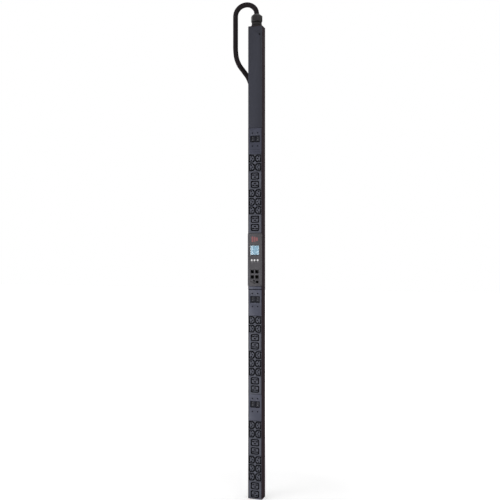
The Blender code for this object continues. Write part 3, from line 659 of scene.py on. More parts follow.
@dataclass(frozen=True)
class MouldedPlastic:
    """Moulded plastic with a spark-eroded grain and slight sheen changes."""

    name: str
    colour: Colour
    roughness: float = 0.45
    grain: float = 2200.0
    depth: float = 0.20
    wear: float = 1.30
    gloss: float = 0.25

    def build(self) -> bpy.types.Material:
        """Makes the material.

        Returns:
            The finished material.
        """
        sheet = Sheet(self.name, self.colour, self.roughness)
        cloud = sheet.mottled(self.colour, 45, 3, (0.3, 0.90), (0.7, 1.08))
        sheet.colour(sheet.mix(sheet.edges(0.53, 0.64), cloud, lighter(self.colour, self.wear)))
        sheet.roughness(sheet.spread(sheet.noise(300, 4), self.roughness - 0.06, self.roughness + 0.08))
        sheet.bump(sheet.noise(self.grain, 3), self.depth, 0.00006)
        sheet.set("Specular IOR Level", self.gloss)
        return sheet.material


@dataclass(frozen=True)
class Jacket:
    """A rubber cord jacket: matt, dusty in places, with fine lines drawn along it by the die."""

    name: str
    colour: Colour
    roughness: float = 0.72

    def build(self) -> bpy.types.Material:
        """Makes the material.

        Returns:
            The finished material.
        """
        sheet = Sheet(self.name, self.colour, self.roughness)
        sheet.colour(sheet.mottled(self.colour, 55, 6, (0.35, 0.82), (0.72, 1.22)))
        sheet.roughness(sheet.spread(sheet.noise(120, 4), self.roughness - 0.10, self.roughness + 0.12))
        sheet.bump(sheet.noise(900, 4), 0.28, 0.00018)
        sheet.bump(sheet.noise(160, 2), 0.15, 0.0005)
        sheet.set("Specular IOR Level", 0.04)
        return sheet.material


@dataclass(frozen=True)
class Metal:
    """Plated or pressed metal with fine drawn lines and a mottled shine."""

    name: str
    colour: Colour
    roughness: float = 0.3
    lines: tuple[float, float, float] = (300.0, 300.0, 6000.0)

    def build(self) -> bpy.types.Material:
        """Makes the material.

        Returns:
            The finished material.
        """
        sheet = Sheet(self.name, self.colour, self.roughness, 1.0)
        sheet.colour(sheet.mottled(self.colour, 140, 4, (0.3, 0.82), (0.7, 1.08)))
        drawn = sheet.noise(1, 2, sheet.stretched(self.lines))
        sheet.roughness(sheet.spread(drawn, self.roughness - 0.08, self.roughness + 0.12))
        sheet.bump(drawn, 0.10, 0.00004)
        return sheet.material


@dataclass(frozen=True)
class ClearWindow:
    """A clear hard window, with faint wipe marks in its gloss."""

    name: str
    tint: Colour

    def build(self) -> bpy.types.Material:
        """Makes the material.

        Returns:
            The finished material.
        """
        sheet = Sheet(self.name, self.tint, 0.05)
        sheet.set("Transmission Weight", 0.95)
        sheet.set("IOR", 1.49)
        sheet.set("Specular IOR Level", 0.05)
        sheet.roughness(sheet.spread(sheet.noise(90, 5), 0.02, 0.09))
        return sheet.material


@dataclass(frozen=True)
class Backlight:
    """A backlit screen: it gives off its colour in soft clouds, over a fine grid of cells."""

    name: str
    colour: Colour
    glow: float

    def build(self) -> bpy.types.Material:
        """Makes the material.

        Returns:
            The finished material.
        """
        sheet = Sheet(self.name, self.colour, 0.35)
        cloud = sheet.mottled(self.colour, 30, 2, (0.25, 0.93), (0.75, 1.05))
        sheet.colour(sheet.mottled(self.colour, 30, 2, (0.2, 0.08), (0.8, 0.12)))
        sheet.link(cloud, sheet.shader.inputs["Emission Color"])
        sheet.set("Emission Strength", self.glow)
        sheet.set("Specular IOR Level", 0.03)
        grid = sheet.node("ShaderNodeTexBrick", offset=0.0)
        grid.inputs["Scale"].default_value = 1.0
        grid.inputs["Brick Width"].default_value = 0.4
        grid.inputs["Row Height"].default_value = 0.4
        grid.inputs["Mortar Size"].default_value = 0.03
        sheet.link(sheet.stretched((1000, 1000, 1000)), grid.inputs["Vector"])
        sheet.bump(grid.outputs["Fac"], 0.10, 0.00003)
        return sheet.material


@dataclass(frozen=True)
class CircuitBoard:
    """Green solder mask with copper tracks showing under it."""

    name: str
    colour: Colour
    track: Colour

    def build(self) -> bpy.types.Material:
        """Makes the material.

        Returns:
            The finished material.
        """
        sheet = Sheet(self.name, self.colour, 0.35)
        cells = sheet.node("ShaderNodeTexVoronoi", distance="MANHATTAN", feature="F1")
        cells.inputs["Scale"].default_value = 260
        sheet.link(sheet.space, cells.inputs["Vector"])
        mask = sheet.ramp(cells.outputs["Distance"], [(0.30, (0, 0, 0)), (0.36, (1, 1, 1))])
        sheet.colour(sheet.mix(mask, self.colour, self.track))
        sheet.bump(mask, 0.2, 0.00005)
        return sheet.material


@dataclass(frozen=True)
class LoopTape:
    """Hook-and-loop tape: a dense fuzz of loops over a coarse weave."""

    name: str
    colour: Colour

    def build(self) -> bpy.types.Material:
        """Makes the material.

        Returns:
            The finished material.
        """
        sheet = Sheet(self.name, self.colour, 0.92)
        fuzz = sheet.noise(1800, 6)
        stops = [(0.35, lighter(self.colour, 0.6)), (0.7, lighter(self.colour, 1.8))]
        sheet.colour(sheet.ramp(fuzz, stops))
        weave = sheet.node("ShaderNodeTexWave", wave_type="BANDS", bands_direction="Z")
        weave.inputs["Scale"].default_value = 500
        weave.inputs["Distortion"].default_value = 2.0
        sheet.link(sheet.space, weave.inputs["Vector"])
        sheet.bump(weave.outputs["Fac"], 0.4, 0.0003)
        sheet.bump(fuzz, 0.6, 0.0004)
        sheet.set("Sheen Weight", 0.3)
        return sheet.material


class Tone(Enum):
    """The strip's finishes, each with the record's material slot that it belongs to."""

    CHANNEL = (PowderCoat("channel_coat", shade(54, 43, 47), 0.66, wear=1.15, gloss=0.02), "channel_paint")
    FRONT = (PowderCoat("front_coat", shade(50, 51, 60), 0.42), "front_paint")
    BEZEL = (PowderCoat("bezel_coat", shade(68, 70, 84), 0.42), "front_paint")
    # The same bezel paint made lighter for bays 2 and 3: painted light.
    BEZEL_PALE = (PowderCoat("bezel_coat_painted_light", shade(82, 84, 98), 0.42), "front_paint")
    DISPLAY = (PowderCoat("display_coat", shade(86, 84, 88), 0.45), "front_paint")
    OUTLET = (MouldedPlastic("outlet_mould", shade(90, 92, 103), 0.42), "outlet_plastic")
    # Outlet plastic darkened to near black for faces behind the front: painted shade in the grooves and
    # slots.
    WELL = (MouldedPlastic("well_painted_shade", shade(13, 13, 16), 0.60, gloss=0.08), "outlet_plastic")
    CASE = (MouldedPlastic("case_mould", shade(22, 21, 26), 0.45, gloss=0.12), "breaker_case")
    ROCKER = (MouldedPlastic("rocker_mould", shade(44, 45, 52), 0.38), "breaker_handle")
    BLACK = (MouldedPlastic("black_mould", shade(18, 18, 20), 0.42, gloss=0.12), "black_plastic")
    MARK = (MouldedPlastic("mark_ink", shade(120, 122, 130), 0.55, depth=0.08), "front_paint")
    MARK_DIM = (MouldedPlastic("mark_ink_dim", shade(104, 105, 114), 0.55, depth=0.08), "front_paint")
    BADGE = (MouldedPlastic("badge_ink", shade(142, 88, 90), 0.50, depth=0.08), "front_paint")
    BUTTON = (MouldedPlastic("button_mould", shade(253, 253, 253), 0.60, wear=1.0), "button_rubber")
    GLAND = (MouldedPlastic("gland_mould", shade(44, 41, 42), 0.40, depth=0.3), "gland_nylon")
    SEAL = (MouldedPlastic("seal_mould", shade(20, 20, 20), 0.75), "seal_rubber")
    PLUG = (MouldedPlastic("plug_mould", shade(26, 26, 28), 0.48, depth=0.3), "plug_nylon")
    CORD = (Jacket("cord_jacket", shade(46, 41, 43)), "cord_rubber")
    PLATED = (Metal("plated_metal", shade(150, 150, 152), 0.28), "plated_steel")
    SCREW = (Metal("blackened_metal", shade(34, 34, 38), 0.50), "plated_steel")
    BRASS = (Metal("brass_metal", shade(190, 164, 100), 0.30), "plug_contacts")
    GOLD = (Metal("gold_metal", shade(120, 96, 50), 0.35), "plug_contacts")
    # Tinned copper darkened far below its own colour: painted shade deep in the outlet slots.
    BARS = (Metal("tinned_metal_darkened_for_shade", shade(34, 31, 31), 0.60), "tinned_copper")
    WINDOW = (ClearWindow("window_clear", (0.92, 0.97, 1.0)), "window_glass")
    SCREEN = (Backlight("screen_light", shade(134, 176, 198), 0.88), "screen")
    INK = (Backlight("screen_ink", shade(116, 160, 184), 0.88), "screen")
    BOARD = (CircuitBoard("board_mask", shade(18, 84, 52), shade(30, 110, 66)), "board")
    TAPE = (LoopTape("tie_tape", shade(24, 24, 27)), "tie_fabric")

    @property
    def slot(self) -> str:
        """The record's material slot."""
        return self.value[1]

    def material(self) -> bpy.types.Material:
        """The tone's material, made once."""
        finish = self.value[0]
        return bpy.data.materials.get(finish.name) or finish.build()


# ---------------------------------------------------------------- studio


@dataclass(frozen=True)
class Lamp:
    """A soft rectangular lamp, placed by its direction and distance from the strip's middle."""

    name: str
    azimuth: float
    elevation: float
    distance: float
    size: Point
    power: float
    lift: float = 0.0
    colour: Colour = (1.0, 1.0, 1.0)

    def build(self, aim: Vector) -> None:
        """Hangs the lamp and points it.

        Args:
            aim: The strip's middle.
        """
        turn, rise = math.radians(self.azimuth), math.radians(self.elevation)
        level = math.cos(rise)
        away = Vector((math.sin(turn) * level, -math.cos(turn) * level, math.sin(rise)))
        light = bpy.data.lights.new(self.name, "AREA")
        light.shape = "RECTANGLE"
        light.size, light.size_y = self.size
        light.energy = self.power
        light.color = self.colour
        made = bpy.data.objects.new(self.name, light)
        made.location = aim + away * self.distance + Vector((0, 0, self.lift))
        made.rotation_euler = away.to_track_quat("Z", "Y").to_euler()
        bpy.context.scene.collection.objects.link(made)


@dataclass
class Studio:
    """The camera, the lamps, the pale floor and the white surround."""

    camera_turn: float = math.radians(18.5)
    camera_distance: float = 2.8415
    camera_aim: tuple[float, float, float] = (-0.0277, -0.0300, 0.8265)
    lens: float = 52.40
    floor_reach: float = 14.0
    floor_drop: float = 0.0004
    floor_fade: Point = (0.35, 1.60)
    floor_glow: Point = (0.45, 1.00)
    floor_greys: tuple[Point, Point] = ((0.3, 0.925), (0.7, 0.95))
    fill_light: float = 0.35
    lamps: tuple[Lamp, ...] = (
        Lamp("key_lamp", -41, 2, 2.2, (1.2, 1.2), 18.5, -0.55),
        Lamp("fill_lamp", 40, 12, 3.8, (1.4, 2.6), 7),
        Lamp("top_lamp", 10, 80, 3.4, (3.0, 3.0), 26),
        Lamp("rear_lamp", 165, 35, 3.8, (2.4, 2.4), 10),
    )

    def build(self) -> None:
        """Sets up the whole studio."""
        self._camera()
        low, high = CAD_BOUNDS
        middle = Vector((0, (low[1] + high[1]) / 2, (low[2] + high[2]) / 2))
        for lamp in self.lamps:
            lamp.build(middle)
        self._floor(low[2] - self.floor_drop)
        self._surround()

    def _camera(self) -> None:
        """Places the camera level, at the strip's three-quarter view."""
        camera = bpy.data.cameras.new("camera")
        camera.lens = self.lens
        made = bpy.data.objects.new("camera", camera)
        ahead = Vector((-math.sin(self.camera_turn), math.cos(self.camera_turn), 0))
        made.location = Vector(self.camera_aim) - ahead * self.camera_distance
        made.rotation_euler = (-ahead).to_track_quat("Z", "Y").to_euler()
        bpy.context.scene.collection.objects.link(made)
        bpy.context.scene.camera = made

    def _floor(self, height: float) -> None:
        """Lays the floor, a large pale sheet that keeps the strip's shadow.

        Args:
            height: Its height in the frame.
        """
        bm = bmesh.new()
        reach = self.floor_reach
        corners = [(-reach, -reach), (reach, -reach), (reach, reach), (-reach, reach)]
        bm.faces.new([bm.verts.new((a, b, height)) for a, b in corners])
        mesh = bpy.data.meshes.new("studio_floor")
        bm.to_mesh(mesh)
        bm.free()
        sheet = Sheet("floor_paper", (0.94, 0.94, 0.94), 0.9)
        stops = [(place, (grey, grey, grey)) for place, grey in self.floor_greys]
        sheet.colour(sheet.ramp(sheet.noise(3, 3), stops))
        sheet.bump(sheet.noise(140, 4), 0.05, 0.0004)
        sheet.set("Emission Color", (1, 1, 1, 1))
        away = sheet.node("ShaderNodeVectorMath", operation="LENGTH")
        sheet.link(sheet.space, away.inputs[0])
        fade = sheet.node("ShaderNodeMapRange")
        fade.inputs["From Min"].default_value, fade.inputs["From Max"].default_value = self.floor_fade
        fade.inputs["To Min"].default_value, fade.inputs["To Max"].default_value = self.floor_glow
        sheet.link(away.outputs["Value"], fade.inputs["Value"])
        seen = sheet.node("ShaderNodeMath", operation="MULTIPLY")
        sheet.link(fade.outputs["Result"], seen.inputs[0])
        sheet.link(sheet.node("ShaderNodeLightPath").outputs["Is Camera Ray"], seen.inputs[1])
        sheet.link(seen.outputs["Value"], sheet.shader.inputs["Emission Strength"])
        mesh.materials.append(sheet.material)
        floor = bpy.data.objects.new("studio_floor", mesh)
        bpy.context.scene.collection.objects.link(floor)
        floor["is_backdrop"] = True

    def _surround(self) -> None:
        """Shows plain white to the camera, in gloss and through glass, and a soft grey to the rest."""
        world = bpy.data.worlds.new("surround")
        bpy.context.scene.world = world
        world.use_nodes = True
        tree = world.node_tree
        soft = tree.nodes["Background"]
        soft.inputs["Color"].default_value = (1, 1, 1, 1)
        soft.inputs["Strength"].default_value = self.fill_light
        white = tree.nodes.new("ShaderNodeBackground")
        white.inputs["Color"].default_value = (1, 1, 1, 1)
        white.inputs["Strength"].default_value = 1.0
        rays = tree.nodes.new("ShaderNodeLightPath")
        mixer = tree.nodes.new("ShaderNodeMixShader")
        plain = rays.outputs["Is Camera Ray"]
        for extra in ("Is Glossy Ray", "Is Transmission Ray"):
            either = tree.nodes.new("ShaderNodeMath")
            either.operation = "MAXIMUM"
            tree.links.new(plain, either.inputs[0])
            tree.links.new(rays.outputs[extra], either.inputs[1])
            plain = either.outputs[0]
        tree.links.new(plain, mixer.inputs[0])
        tree.links.new(soft.outputs[0], mixer.inputs[1])
        tree.links.new(white.outputs[0], mixer.inputs[2])
        tree.links.new(mixer.outputs[0], tree.nodes["World Output"].inputs["Surface"])
        bpy.context.scene.view_settings.view_transform = "Standard"


# ---------------------------------------------------------------- cord

CORD_ROUTE = (
    (0.0000, 0.0000, 0.0503), (0.0000, 0.0000, 0.0532), (-0.0035, 0.0000, 0.0675),
    (-0.0128, 0.0000, 0.0800), (-0.0270, 0.0000, 0.0890), (-0.0437, 0.0000, 0.0920),
    (-0.0605, 0.0000, 0.0890), (-0.0747, 0.0000, 0.0800), (-0.0840, 0.0000, 0.0670),
    (-0.0872, 0.0000, 0.0530), (-0.0875, 0.0000, 0.0310), (-0.0875, 0.0000, 0.0060),
    (-0.0875, 0.0000, -0.0240), (-0.0875, 0.0000, -0.0540), (-0.0873, 0.0002, -0.0810),
    (-0.0845, 0.0032, -0.1120), (-0.0765, 0.0118, -0.1375), (-0.0632, 0.0262, -0.1596),
    (-0.0498, 0.0406, -0.1817), (-0.0418, 0.0492, -0.2072), (-0.0390, 0.0522, -0.2330),
    (-0.0388, 0.0524, -0.2410), (-0.0388, 0.0524, -0.2437),
)


@dataclass
class PowerCord:
    """The supply cord: its arch out of the gland, the hank behind the strip, the tie and the plug."""

    datum: Datum
    diameter: float = 0.0195
    step: float = 0.005
    turn: float = math.radians(18.5)
    away: float = 0.0620
    start: tuple[float, float, float] = (0.0, 0.0220, 1.8290)
    fold: float = 0.1170
    top: float = 1.5150
    run: float = 0.2910
    lead: float = 0.0700
    first_side: float = -0.0201
    far_side: float = -0.0100
    sides: Point = (-0.0301, 0.0101)
    tie_width: float = 0.0250
    lap_length: float = 0.0300
    plug_radius: float = 0.0285
    plug_length: float = 0.0760
    flutes: int = 18
    flute_depth: float = 0.0011
    blades: int = 4
    blade_ring: float = 0.0135
    blade_thick: float = 0.0018
    blade_length: float = 0.0185
    gap: float = 0.0003

    def hank_place(self, along: float, across: float, height: float) -> Vector:
        """Turns a place in the hank into a point of the frame.

        Args:
            along: How far straight back, away from the strip.
            across: How far sideways.
            height: Height above the strip's bottom end.

        Returns:
            The point.
        """
        back = Vector((-math.sin(self.turn), math.cos(self.turn), 0))
        side = Vector((math.cos(self.turn), math.sin(self.turn), 0))
        local = Vector((0, self.start[1], height)) + back * (self.away + along) + side * across
        return self.datum.at(*local)

    def _route(self) -> list[Vector]:
        """Runs a smooth curve through the route's points.

        Returns:
            Points along it, from the gland to the hank.
        """
        points = [Vector(self.start) + Vector(p) for p in CORD_ROUTE]
        line = [points[0]]
        padded = [2 * points[0] - points[1], *points, 2 * points[-1] - points[-2]]
        for a, b, c, d in zip(padded, padded[1:], padded[2:], padded[3:]):
            count = max(1, round((c - b).length / self.step))
            ahead, beyond = (c - a) * 0.5, (d - b) * 0.5
            for i in range(1, count + 1):
                t = i / count
                here = b * (2 * t**3 - 3 * t**2 + 1) + ahead * (t**3 - 2 * t**2 + t)
                line.append(here + c * (-2 * t**3 + 3 * t**2) + beyond * (t**3 - t**2))
        return [self.datum.at(*p) for p in line]

    def _folds(self) -> list[Vector]:
        """Follows the hank down, round, up, round and down.

        Returns:
            Points along it, from the route's end to the plug.
        """
        low = self.top - self.run
        radius = self.fold / 2
        start = self.start[2] + CORD_ROUTE[-1][2]
        landing = low - self.lead - self.plug_length * 0.15
        line: list[Vector] = []

        def straight(along: float, across: float, first: float, last: float) -> None:
            """Adds an upright run.

            Args:
                along: How far back it lies.
                across: How far sideways it lies.
                first: The height at which it starts.
                last: The height at which it ends.
            """
            count = max(2, round(abs(last - first) / self.step))
            heights = (first + (last - first) * i / count for i in range(1, count + 1))
            line.extend(self.hank_place(along, across, height) for height in heights)

        def bend(first: float, last: float, height: float, upward: int) -> None:
            """Adds a half turn from one side of the hank to the other.

            Args:
                first: How far sideways it starts.
                last: How far sideways it ends.
                height: The height of both its ends.
                upward: 1 for a turn over the top, -1 for one below.
            """
            count = round(math.pi * radius / self.step)
            for i in range(1, count + 1):
                turn = math.pi * i / count
                swing = math.cos(turn) if upward < 0 else -math.cos(turn)
                share = (1 - math.cos(turn)) / 2
                rise = upward * radius * math.sin(turn)
                across = first + (last - first) * share
                line.append(self.hank_place(radius * (1 - swing), across, height + rise))

        straight(0, self.first_side, start, low)
        bend(self.first_side, self.far_side, low, -1)
        straight(self.fold, self.far_side, low, self.top)
        bend(self.far_side, 0, self.top, 1)
        straight(0, 0, self.top, landing)
        return line

    def build(self) -> None:
        line = self._route() + self._folds()
        curve = bpy.data.curves.new("supply_cord", "CURVE")
        curve.dimensions = "3D"
        curve.bevel_depth = self.diameter / 2
        curve.bevel_resolution = 5
        curve.use_fill_caps = True
        spline = curve.splines.new("POLY")
        spline.points.add(len(line) - 1)
        for point, place in zip(spline.points, line):
            point.co = (*place, 1)
        spline.use_smooth = True
        cord = bpy.data.objects.new("supply_cord", curve)
        settle(cord, Tone.CORD, nodes=("power_cord", "cord_hank"))
        length = sum((b - a).length for a, b in zip(line, line[1:]))
        LOG.info("cord length %.3f m", length)
        pieces = [self._tie(), *self._plug()]
        tuple(line[0])

    def _tie(self) -> bpy.types.Object:
        """The hook-and-loop strap round the hank, with its lapped end.

        Returns:
            The tie.
        """
        half = self.diameter / 2 + self.gap
        middle = self.top - self.run / 2
        low, high = middle - self.tie_width / 2, middle + self.tie_width / 2
        centre = (self.fold / 2, sum(self.sides) / 2)
        wide, deep = self.fold + 2 * half, self.sides[1] - self.sides[0]
        solid = Solid()
        for grow, lower, upper in ((0.0020, low, high), (0.0023, low + 0.001, high - 0.001)):
            outer = rounded(wide + 2 * grow, deep + 2 * grow, centre, 0.0110, 6)
            inner = rounded(wide + 2 * self.gap, deep + 2 * self.gap, centre, 0.0095, 6)
            solid.slab(outer, upper, lower, self.hank_place, [inner], edge=0.0004, back_edge=0.0004)
        edge = self.sides[0] - 0.0022
        lap = rectangle(self.lap_length, 0.0014, (self.fold * 0.62, edge))
        solid.slab(lap, high - 0.002, low + 0.002, self.hank_place, edge=0.0004, back_edge=0.0004)
        return solid.piece("hank_tie", Tone.TAPE, nodes=("cord_tie",))

    def _plug(self) -> list[bpy.types.Object]:
        """The locking plug: fluted shell, cord clamp with its screws, and the face with curved blades.

        Returns:
            Its three pieces.
        """
        top = self.top - self.run - self.lead - self.gap
        radius, long, bore = self.plug_radius, self.plug_length, self.diameter / 2 + self.gap
        neck = radius * 0.66

        def place(a: float, b: float, along: float) -> Vector:
            """A place round the plug's own axis, which runs down."""
            return self.hank_place(a, b, top - along)

        def fluted(size: float, angle: float, along: float) -> float:
            """The shell's radius with grip flutes along its middle."""
            grip = 0.34 * long < along < 0.80 * long
            return size - (self.flute_depth * (0.5 + 0.5 * math.cos(self.flutes * angle)) if grip else 0)

        shell = [
            (bore, 0.0), (neck * 0.86, 0.0), (neck * 0.96, 0.0015), (neck, 0.0040), (neck, 0.0150),
            (neck * 1.10, 0.0185), (radius * 0.86, 0.0235), (radius * 0.95, 0.0262), (radius, 0.0300),
            (radius, long * 0.80), (radius * 0.965, long * 0.81), (radius * 0.965, long * 0.83),
            (radius, long * 0.84), (radius, long - 0.0012), (radius - 0.0012, long), (bore, long),
            (bore, long * 0.3),
        ]
        body = Solid().turned(shell, place, 108, hollow=True, shape=fluted)
        for side in (-1, 1):
            for rise in (0.0070, 0.0125):
                def sideways(a: float, b: float, along: float, s: int = side, r: float = rise) -> Vector:
                    """A place round a clamp screw's axis, which runs out of the neck's side."""
                    return self.hank_place(s * (neck - 0.001 + along), a, top - r + b)

                screw = [(0.0024, 0), (0.0024, 0.0016), (0.0019, 0.0022), (0.0008, 0.0022)]
                body.turned(screw, sideways, 16)
        made = [body.piece("plug_housing", Tone.PLUG, nodes=("plug_shell",))]
        face = Solid()
        ring, thick, start = self.blade_ring, self.blade_thick, long + self.gap
        face.turned(
            [(0.0006, start), (0.0238, start), (0.0245, start + 0.0007), (0.0245, start + 0.0052),
             (0.0237, start + 0.0060), (0.0006, start + 0.0060)], place, 48,
        )
        made.append(face.piece("plug_face", Tone.BLACK))
        blades = Solid()
        for i in range(self.blades):
            middle = 2 * math.pi * i / self.blades
            sweep = [middle + math.radians(a) for a in (-17, -10, -3, 3, 10, 17)]
            around = [(ring + thick / 2, a) for a in sweep] + [(ring - thick / 2, a) for a in sweep[::-1]]
            outline = [(radius * math.cos(a), radius * math.sin(a)) for radius, a in around]
            tip = start + 0.0060 + self.blade_length
            blades.slab(outline, tip, start + 0.0055, place, edge=0.0005)
        made.append(blades.piece("plug_blades", Tone.BRASS, nodes=("plug_insert",)))
        return made


# ---------------------------------------------------------------- body


def add_screw(solid: Solid, datum: Datum, place: Point, face: float, radius: float, proud: float) -> None:
    """Adds a domed screw head with a cross recess to a front face.

    Args:
        solid: The solid that it joins.
        datum: The body's places.
        place: The screw's place, across and height.
        face: Depth of the surface it sits on.
        radius: Radius of the head.
        proud: How far the head stands out.
    """
    arm, wide = radius * 0.62, radius * 0.15
    cross = [
        (wide, arm), (-wide, arm), (-wide, wide), (-arm, wide), (-arm, -wide), (-wide, -wide),
        (-wide, -arm), (wide, -arm), (wide, -wide), (arm, -wide), (arm, wide), (wide, wide),
    ]
    moved = [(place[0] + a, place[1] + b) for a, b in cross]
    outer = circle(radius, place, 24)
    solid.slab(outer, face - proud, face, datum.seen_from_front, [moved], edge=proud * 0.6, steps=3)
    floor = circle(radius * 0.8, place, 16)
    solid.slab(floor, face - proud * 0.35, face, datum.seen_from_front)


@dataclass
class Enclosure:
    """The rear channel, the blank upper cover, the two end plates and the mounting pegs."""

    datum: Datum
    wall: float = 0.0015
    bend: float = 0.0022
    gap: float = 0.0003
    rivets: int = 7
    rivet_margin: float = 0.020
    rivet_radius: float = 0.0024
    rivet_proud: float = 0.0006
    end_corner: float = 0.0018
    end_screw: Point = (0.0225, 0.0060)

    def build(self) -> None:
        """Builds every sheet-metal piece and the pegs."""
        self._channel()
        self._cover()
        self._ends()
        self._pegs()

    def _channel(self) -> None:
        """The U-shaped channel with its bent back corners and a row of closed rivets in each side."""
        low, high = self.datum.local_box("rear_channel")
        cover_low, _ = self.datum.local_box("upper_front_cover")
        half, deep, wall = high.x, high.y, self.wall
        solid = Solid()
        joint = cover_low.z - self.gap
        for front, foot, top in ((0.0, low.z, joint), (wall + self.gap, joint, high.z)):
            corners = [
                (-half, front), (-half + wall, front), (-half + wall, deep - wall),
                (half - wall, deep - wall), (half - wall, front), (half, front), (half, deep), (-half, deep),
            ]
            tight, inner = 0.0004, self.bend - wall
            radii = (tight, tight, inner, inner, tight, tight, self.bend, self.bend)
            solid.slab(soften(corners, radii, 4), foot, top, self.datum.at)
        radius, proud, margin = self.rivet_radius, self.rivet_proud, self.rivet_margin
        head = [(radius, -0.0001), (radius, 0.0002), (radius * 0.7, proud), (radius * 0.25, proud * 1.1)]
        for side in (-1, 1):
            for i in range(self.rivets):
                rise = margin + (high.z - 2 * margin) * i / (self.rivets - 1)

                def place(a: float, b: float, out: float, s: int = side, h: float = rise) -> Vector:
                    """A place round a rivet's axis, which runs out of the channel's side."""
                    return self.datum.at(s * (half + out), deep * 0.72 + a, h + b)

                solid.turned(head, place, 16)
        solid.piece("channel_shell", Tone.CHANNEL, nodes=("rear_channel",))

    def _cover(self) -> None:
        """The blank cover's sheet with its folded-in edges, and its screw."""
        low, high = self.datum.local_box("upper_front_cover")
        place, wall = self.datum.middle("cover_screw"), self.wall
        solid = Solid()
        sheet, hole = self.datum.outline("upper_front_cover", 0.0008), circle(0.0017, place, 16)
        solid.slab(sheet, 0.0, wall, self.datum.seen_from_front, [hole], edge=0.0009, steps=4)
        for side in (-1, 1):
            middle = side * (high.x - wall - self.gap) - side * wall / 2
            flange = rectangle(wall, high.y - wall, (middle, (wall + high.y) / 2))
            solid.slab(flange, low.z + 0.001, high.z - 0.001, self.datum.at)
        solid.piece("cover_sheet", Tone.FRONT, nodes=("upper_front_cover",))
        head = Solid()
        add_screw(head, self.datum, place, -self.gap / 2, 0.0030, 0.0012)
        head.piece("cover_screw_head", Tone.SCREW, nodes=("cover_screw",))

    def _ends(self) -> None:
        """The top plate with its gland hole and screws, and the bottom plate."""
        top_low, top_high = self.datum.local_box("top_end_plate")
        foot_low, foot_high = self.datum.local_box("bottom_end_cap")
        centre = (0.0, (top_low.y + top_high.y) / 2)
        size = (top_high.x * 2, top_high.y - top_low.y)
        plate = Solid()
        hole = circle(0.0160, centre, 40)
        outline = rounded(*size, centre, self.end_corner, 4)
        plate.slab(outline, top_high.z, top_low.z, self.datum.at, [hole], edge=0.0005)
        across, inward = self.end_screw
        for side in (-1, 1):
            for depth in (inward, size[1] - inward):
                def place(a: float, b: float, up: float, s: int = side, d: float = depth) -> Vector:
                    """A place round a plate screw's axis, which runs up."""
                    return self.datum.at(s * across + a, d + b, top_high.z + up)

                plate.turned([(0.0026, -0.0001), (0.0024, 0.0004), (0.0014, 0.0008)], place, 18)
        plate.piece("top_plate", Tone.CHANNEL, nodes=("top_end_plate",))
        foot = Solid()
        holes = [circle(0.0022, (side * 0.0200, centre[1]), 16) for side in (-1, 1)]
        foot.slab(outline, foot_low.z, foot_high.z, self.datum.at, holes, edge=0.0004)
        foot.piece("foot_plate", Tone.CHANNEL, nodes=("bottom_end_cap",))

    def _pegs(self) -> None:
        """The two shouldered pegs on the back, with a rolled collar and a domed head."""
        for name in ("lower_mounting_peg", "upper_mounting_peg"):
            low, high = self.datum.local_box(name)
            wide, long = high.x, high.y - low.y
            profile = [
                (wide, 0), (wide, 0.0011), (wide - 0.0006, 0.0015), (0.0032, 0.0015), (0.0030, 0.0020),
                (0.0030, long - 0.0029), (0.0034, long - 0.0025), (0.0050, long - 0.0025),
                (0.0055, long - 0.0020), (0.0055, long - 0.0006), (0.0049, long), (0.0012, long),
            ]

            def place(a: float, b: float, along: float, low: Vector = low, high: Vector = high) -> Vector:
                """A place round the peg's axis, which runs straight back."""
                return self.datum.at(a, low.y + along, (low.z + high.z) / 2 + b)

            peg = Solid().turned(profile, place, 32)
            peg.piece(name.replace("mounting_peg", "hanger"), Tone.PLATED, nodes=(name,))


PLATE_JOINTS = {2: 0.8103}


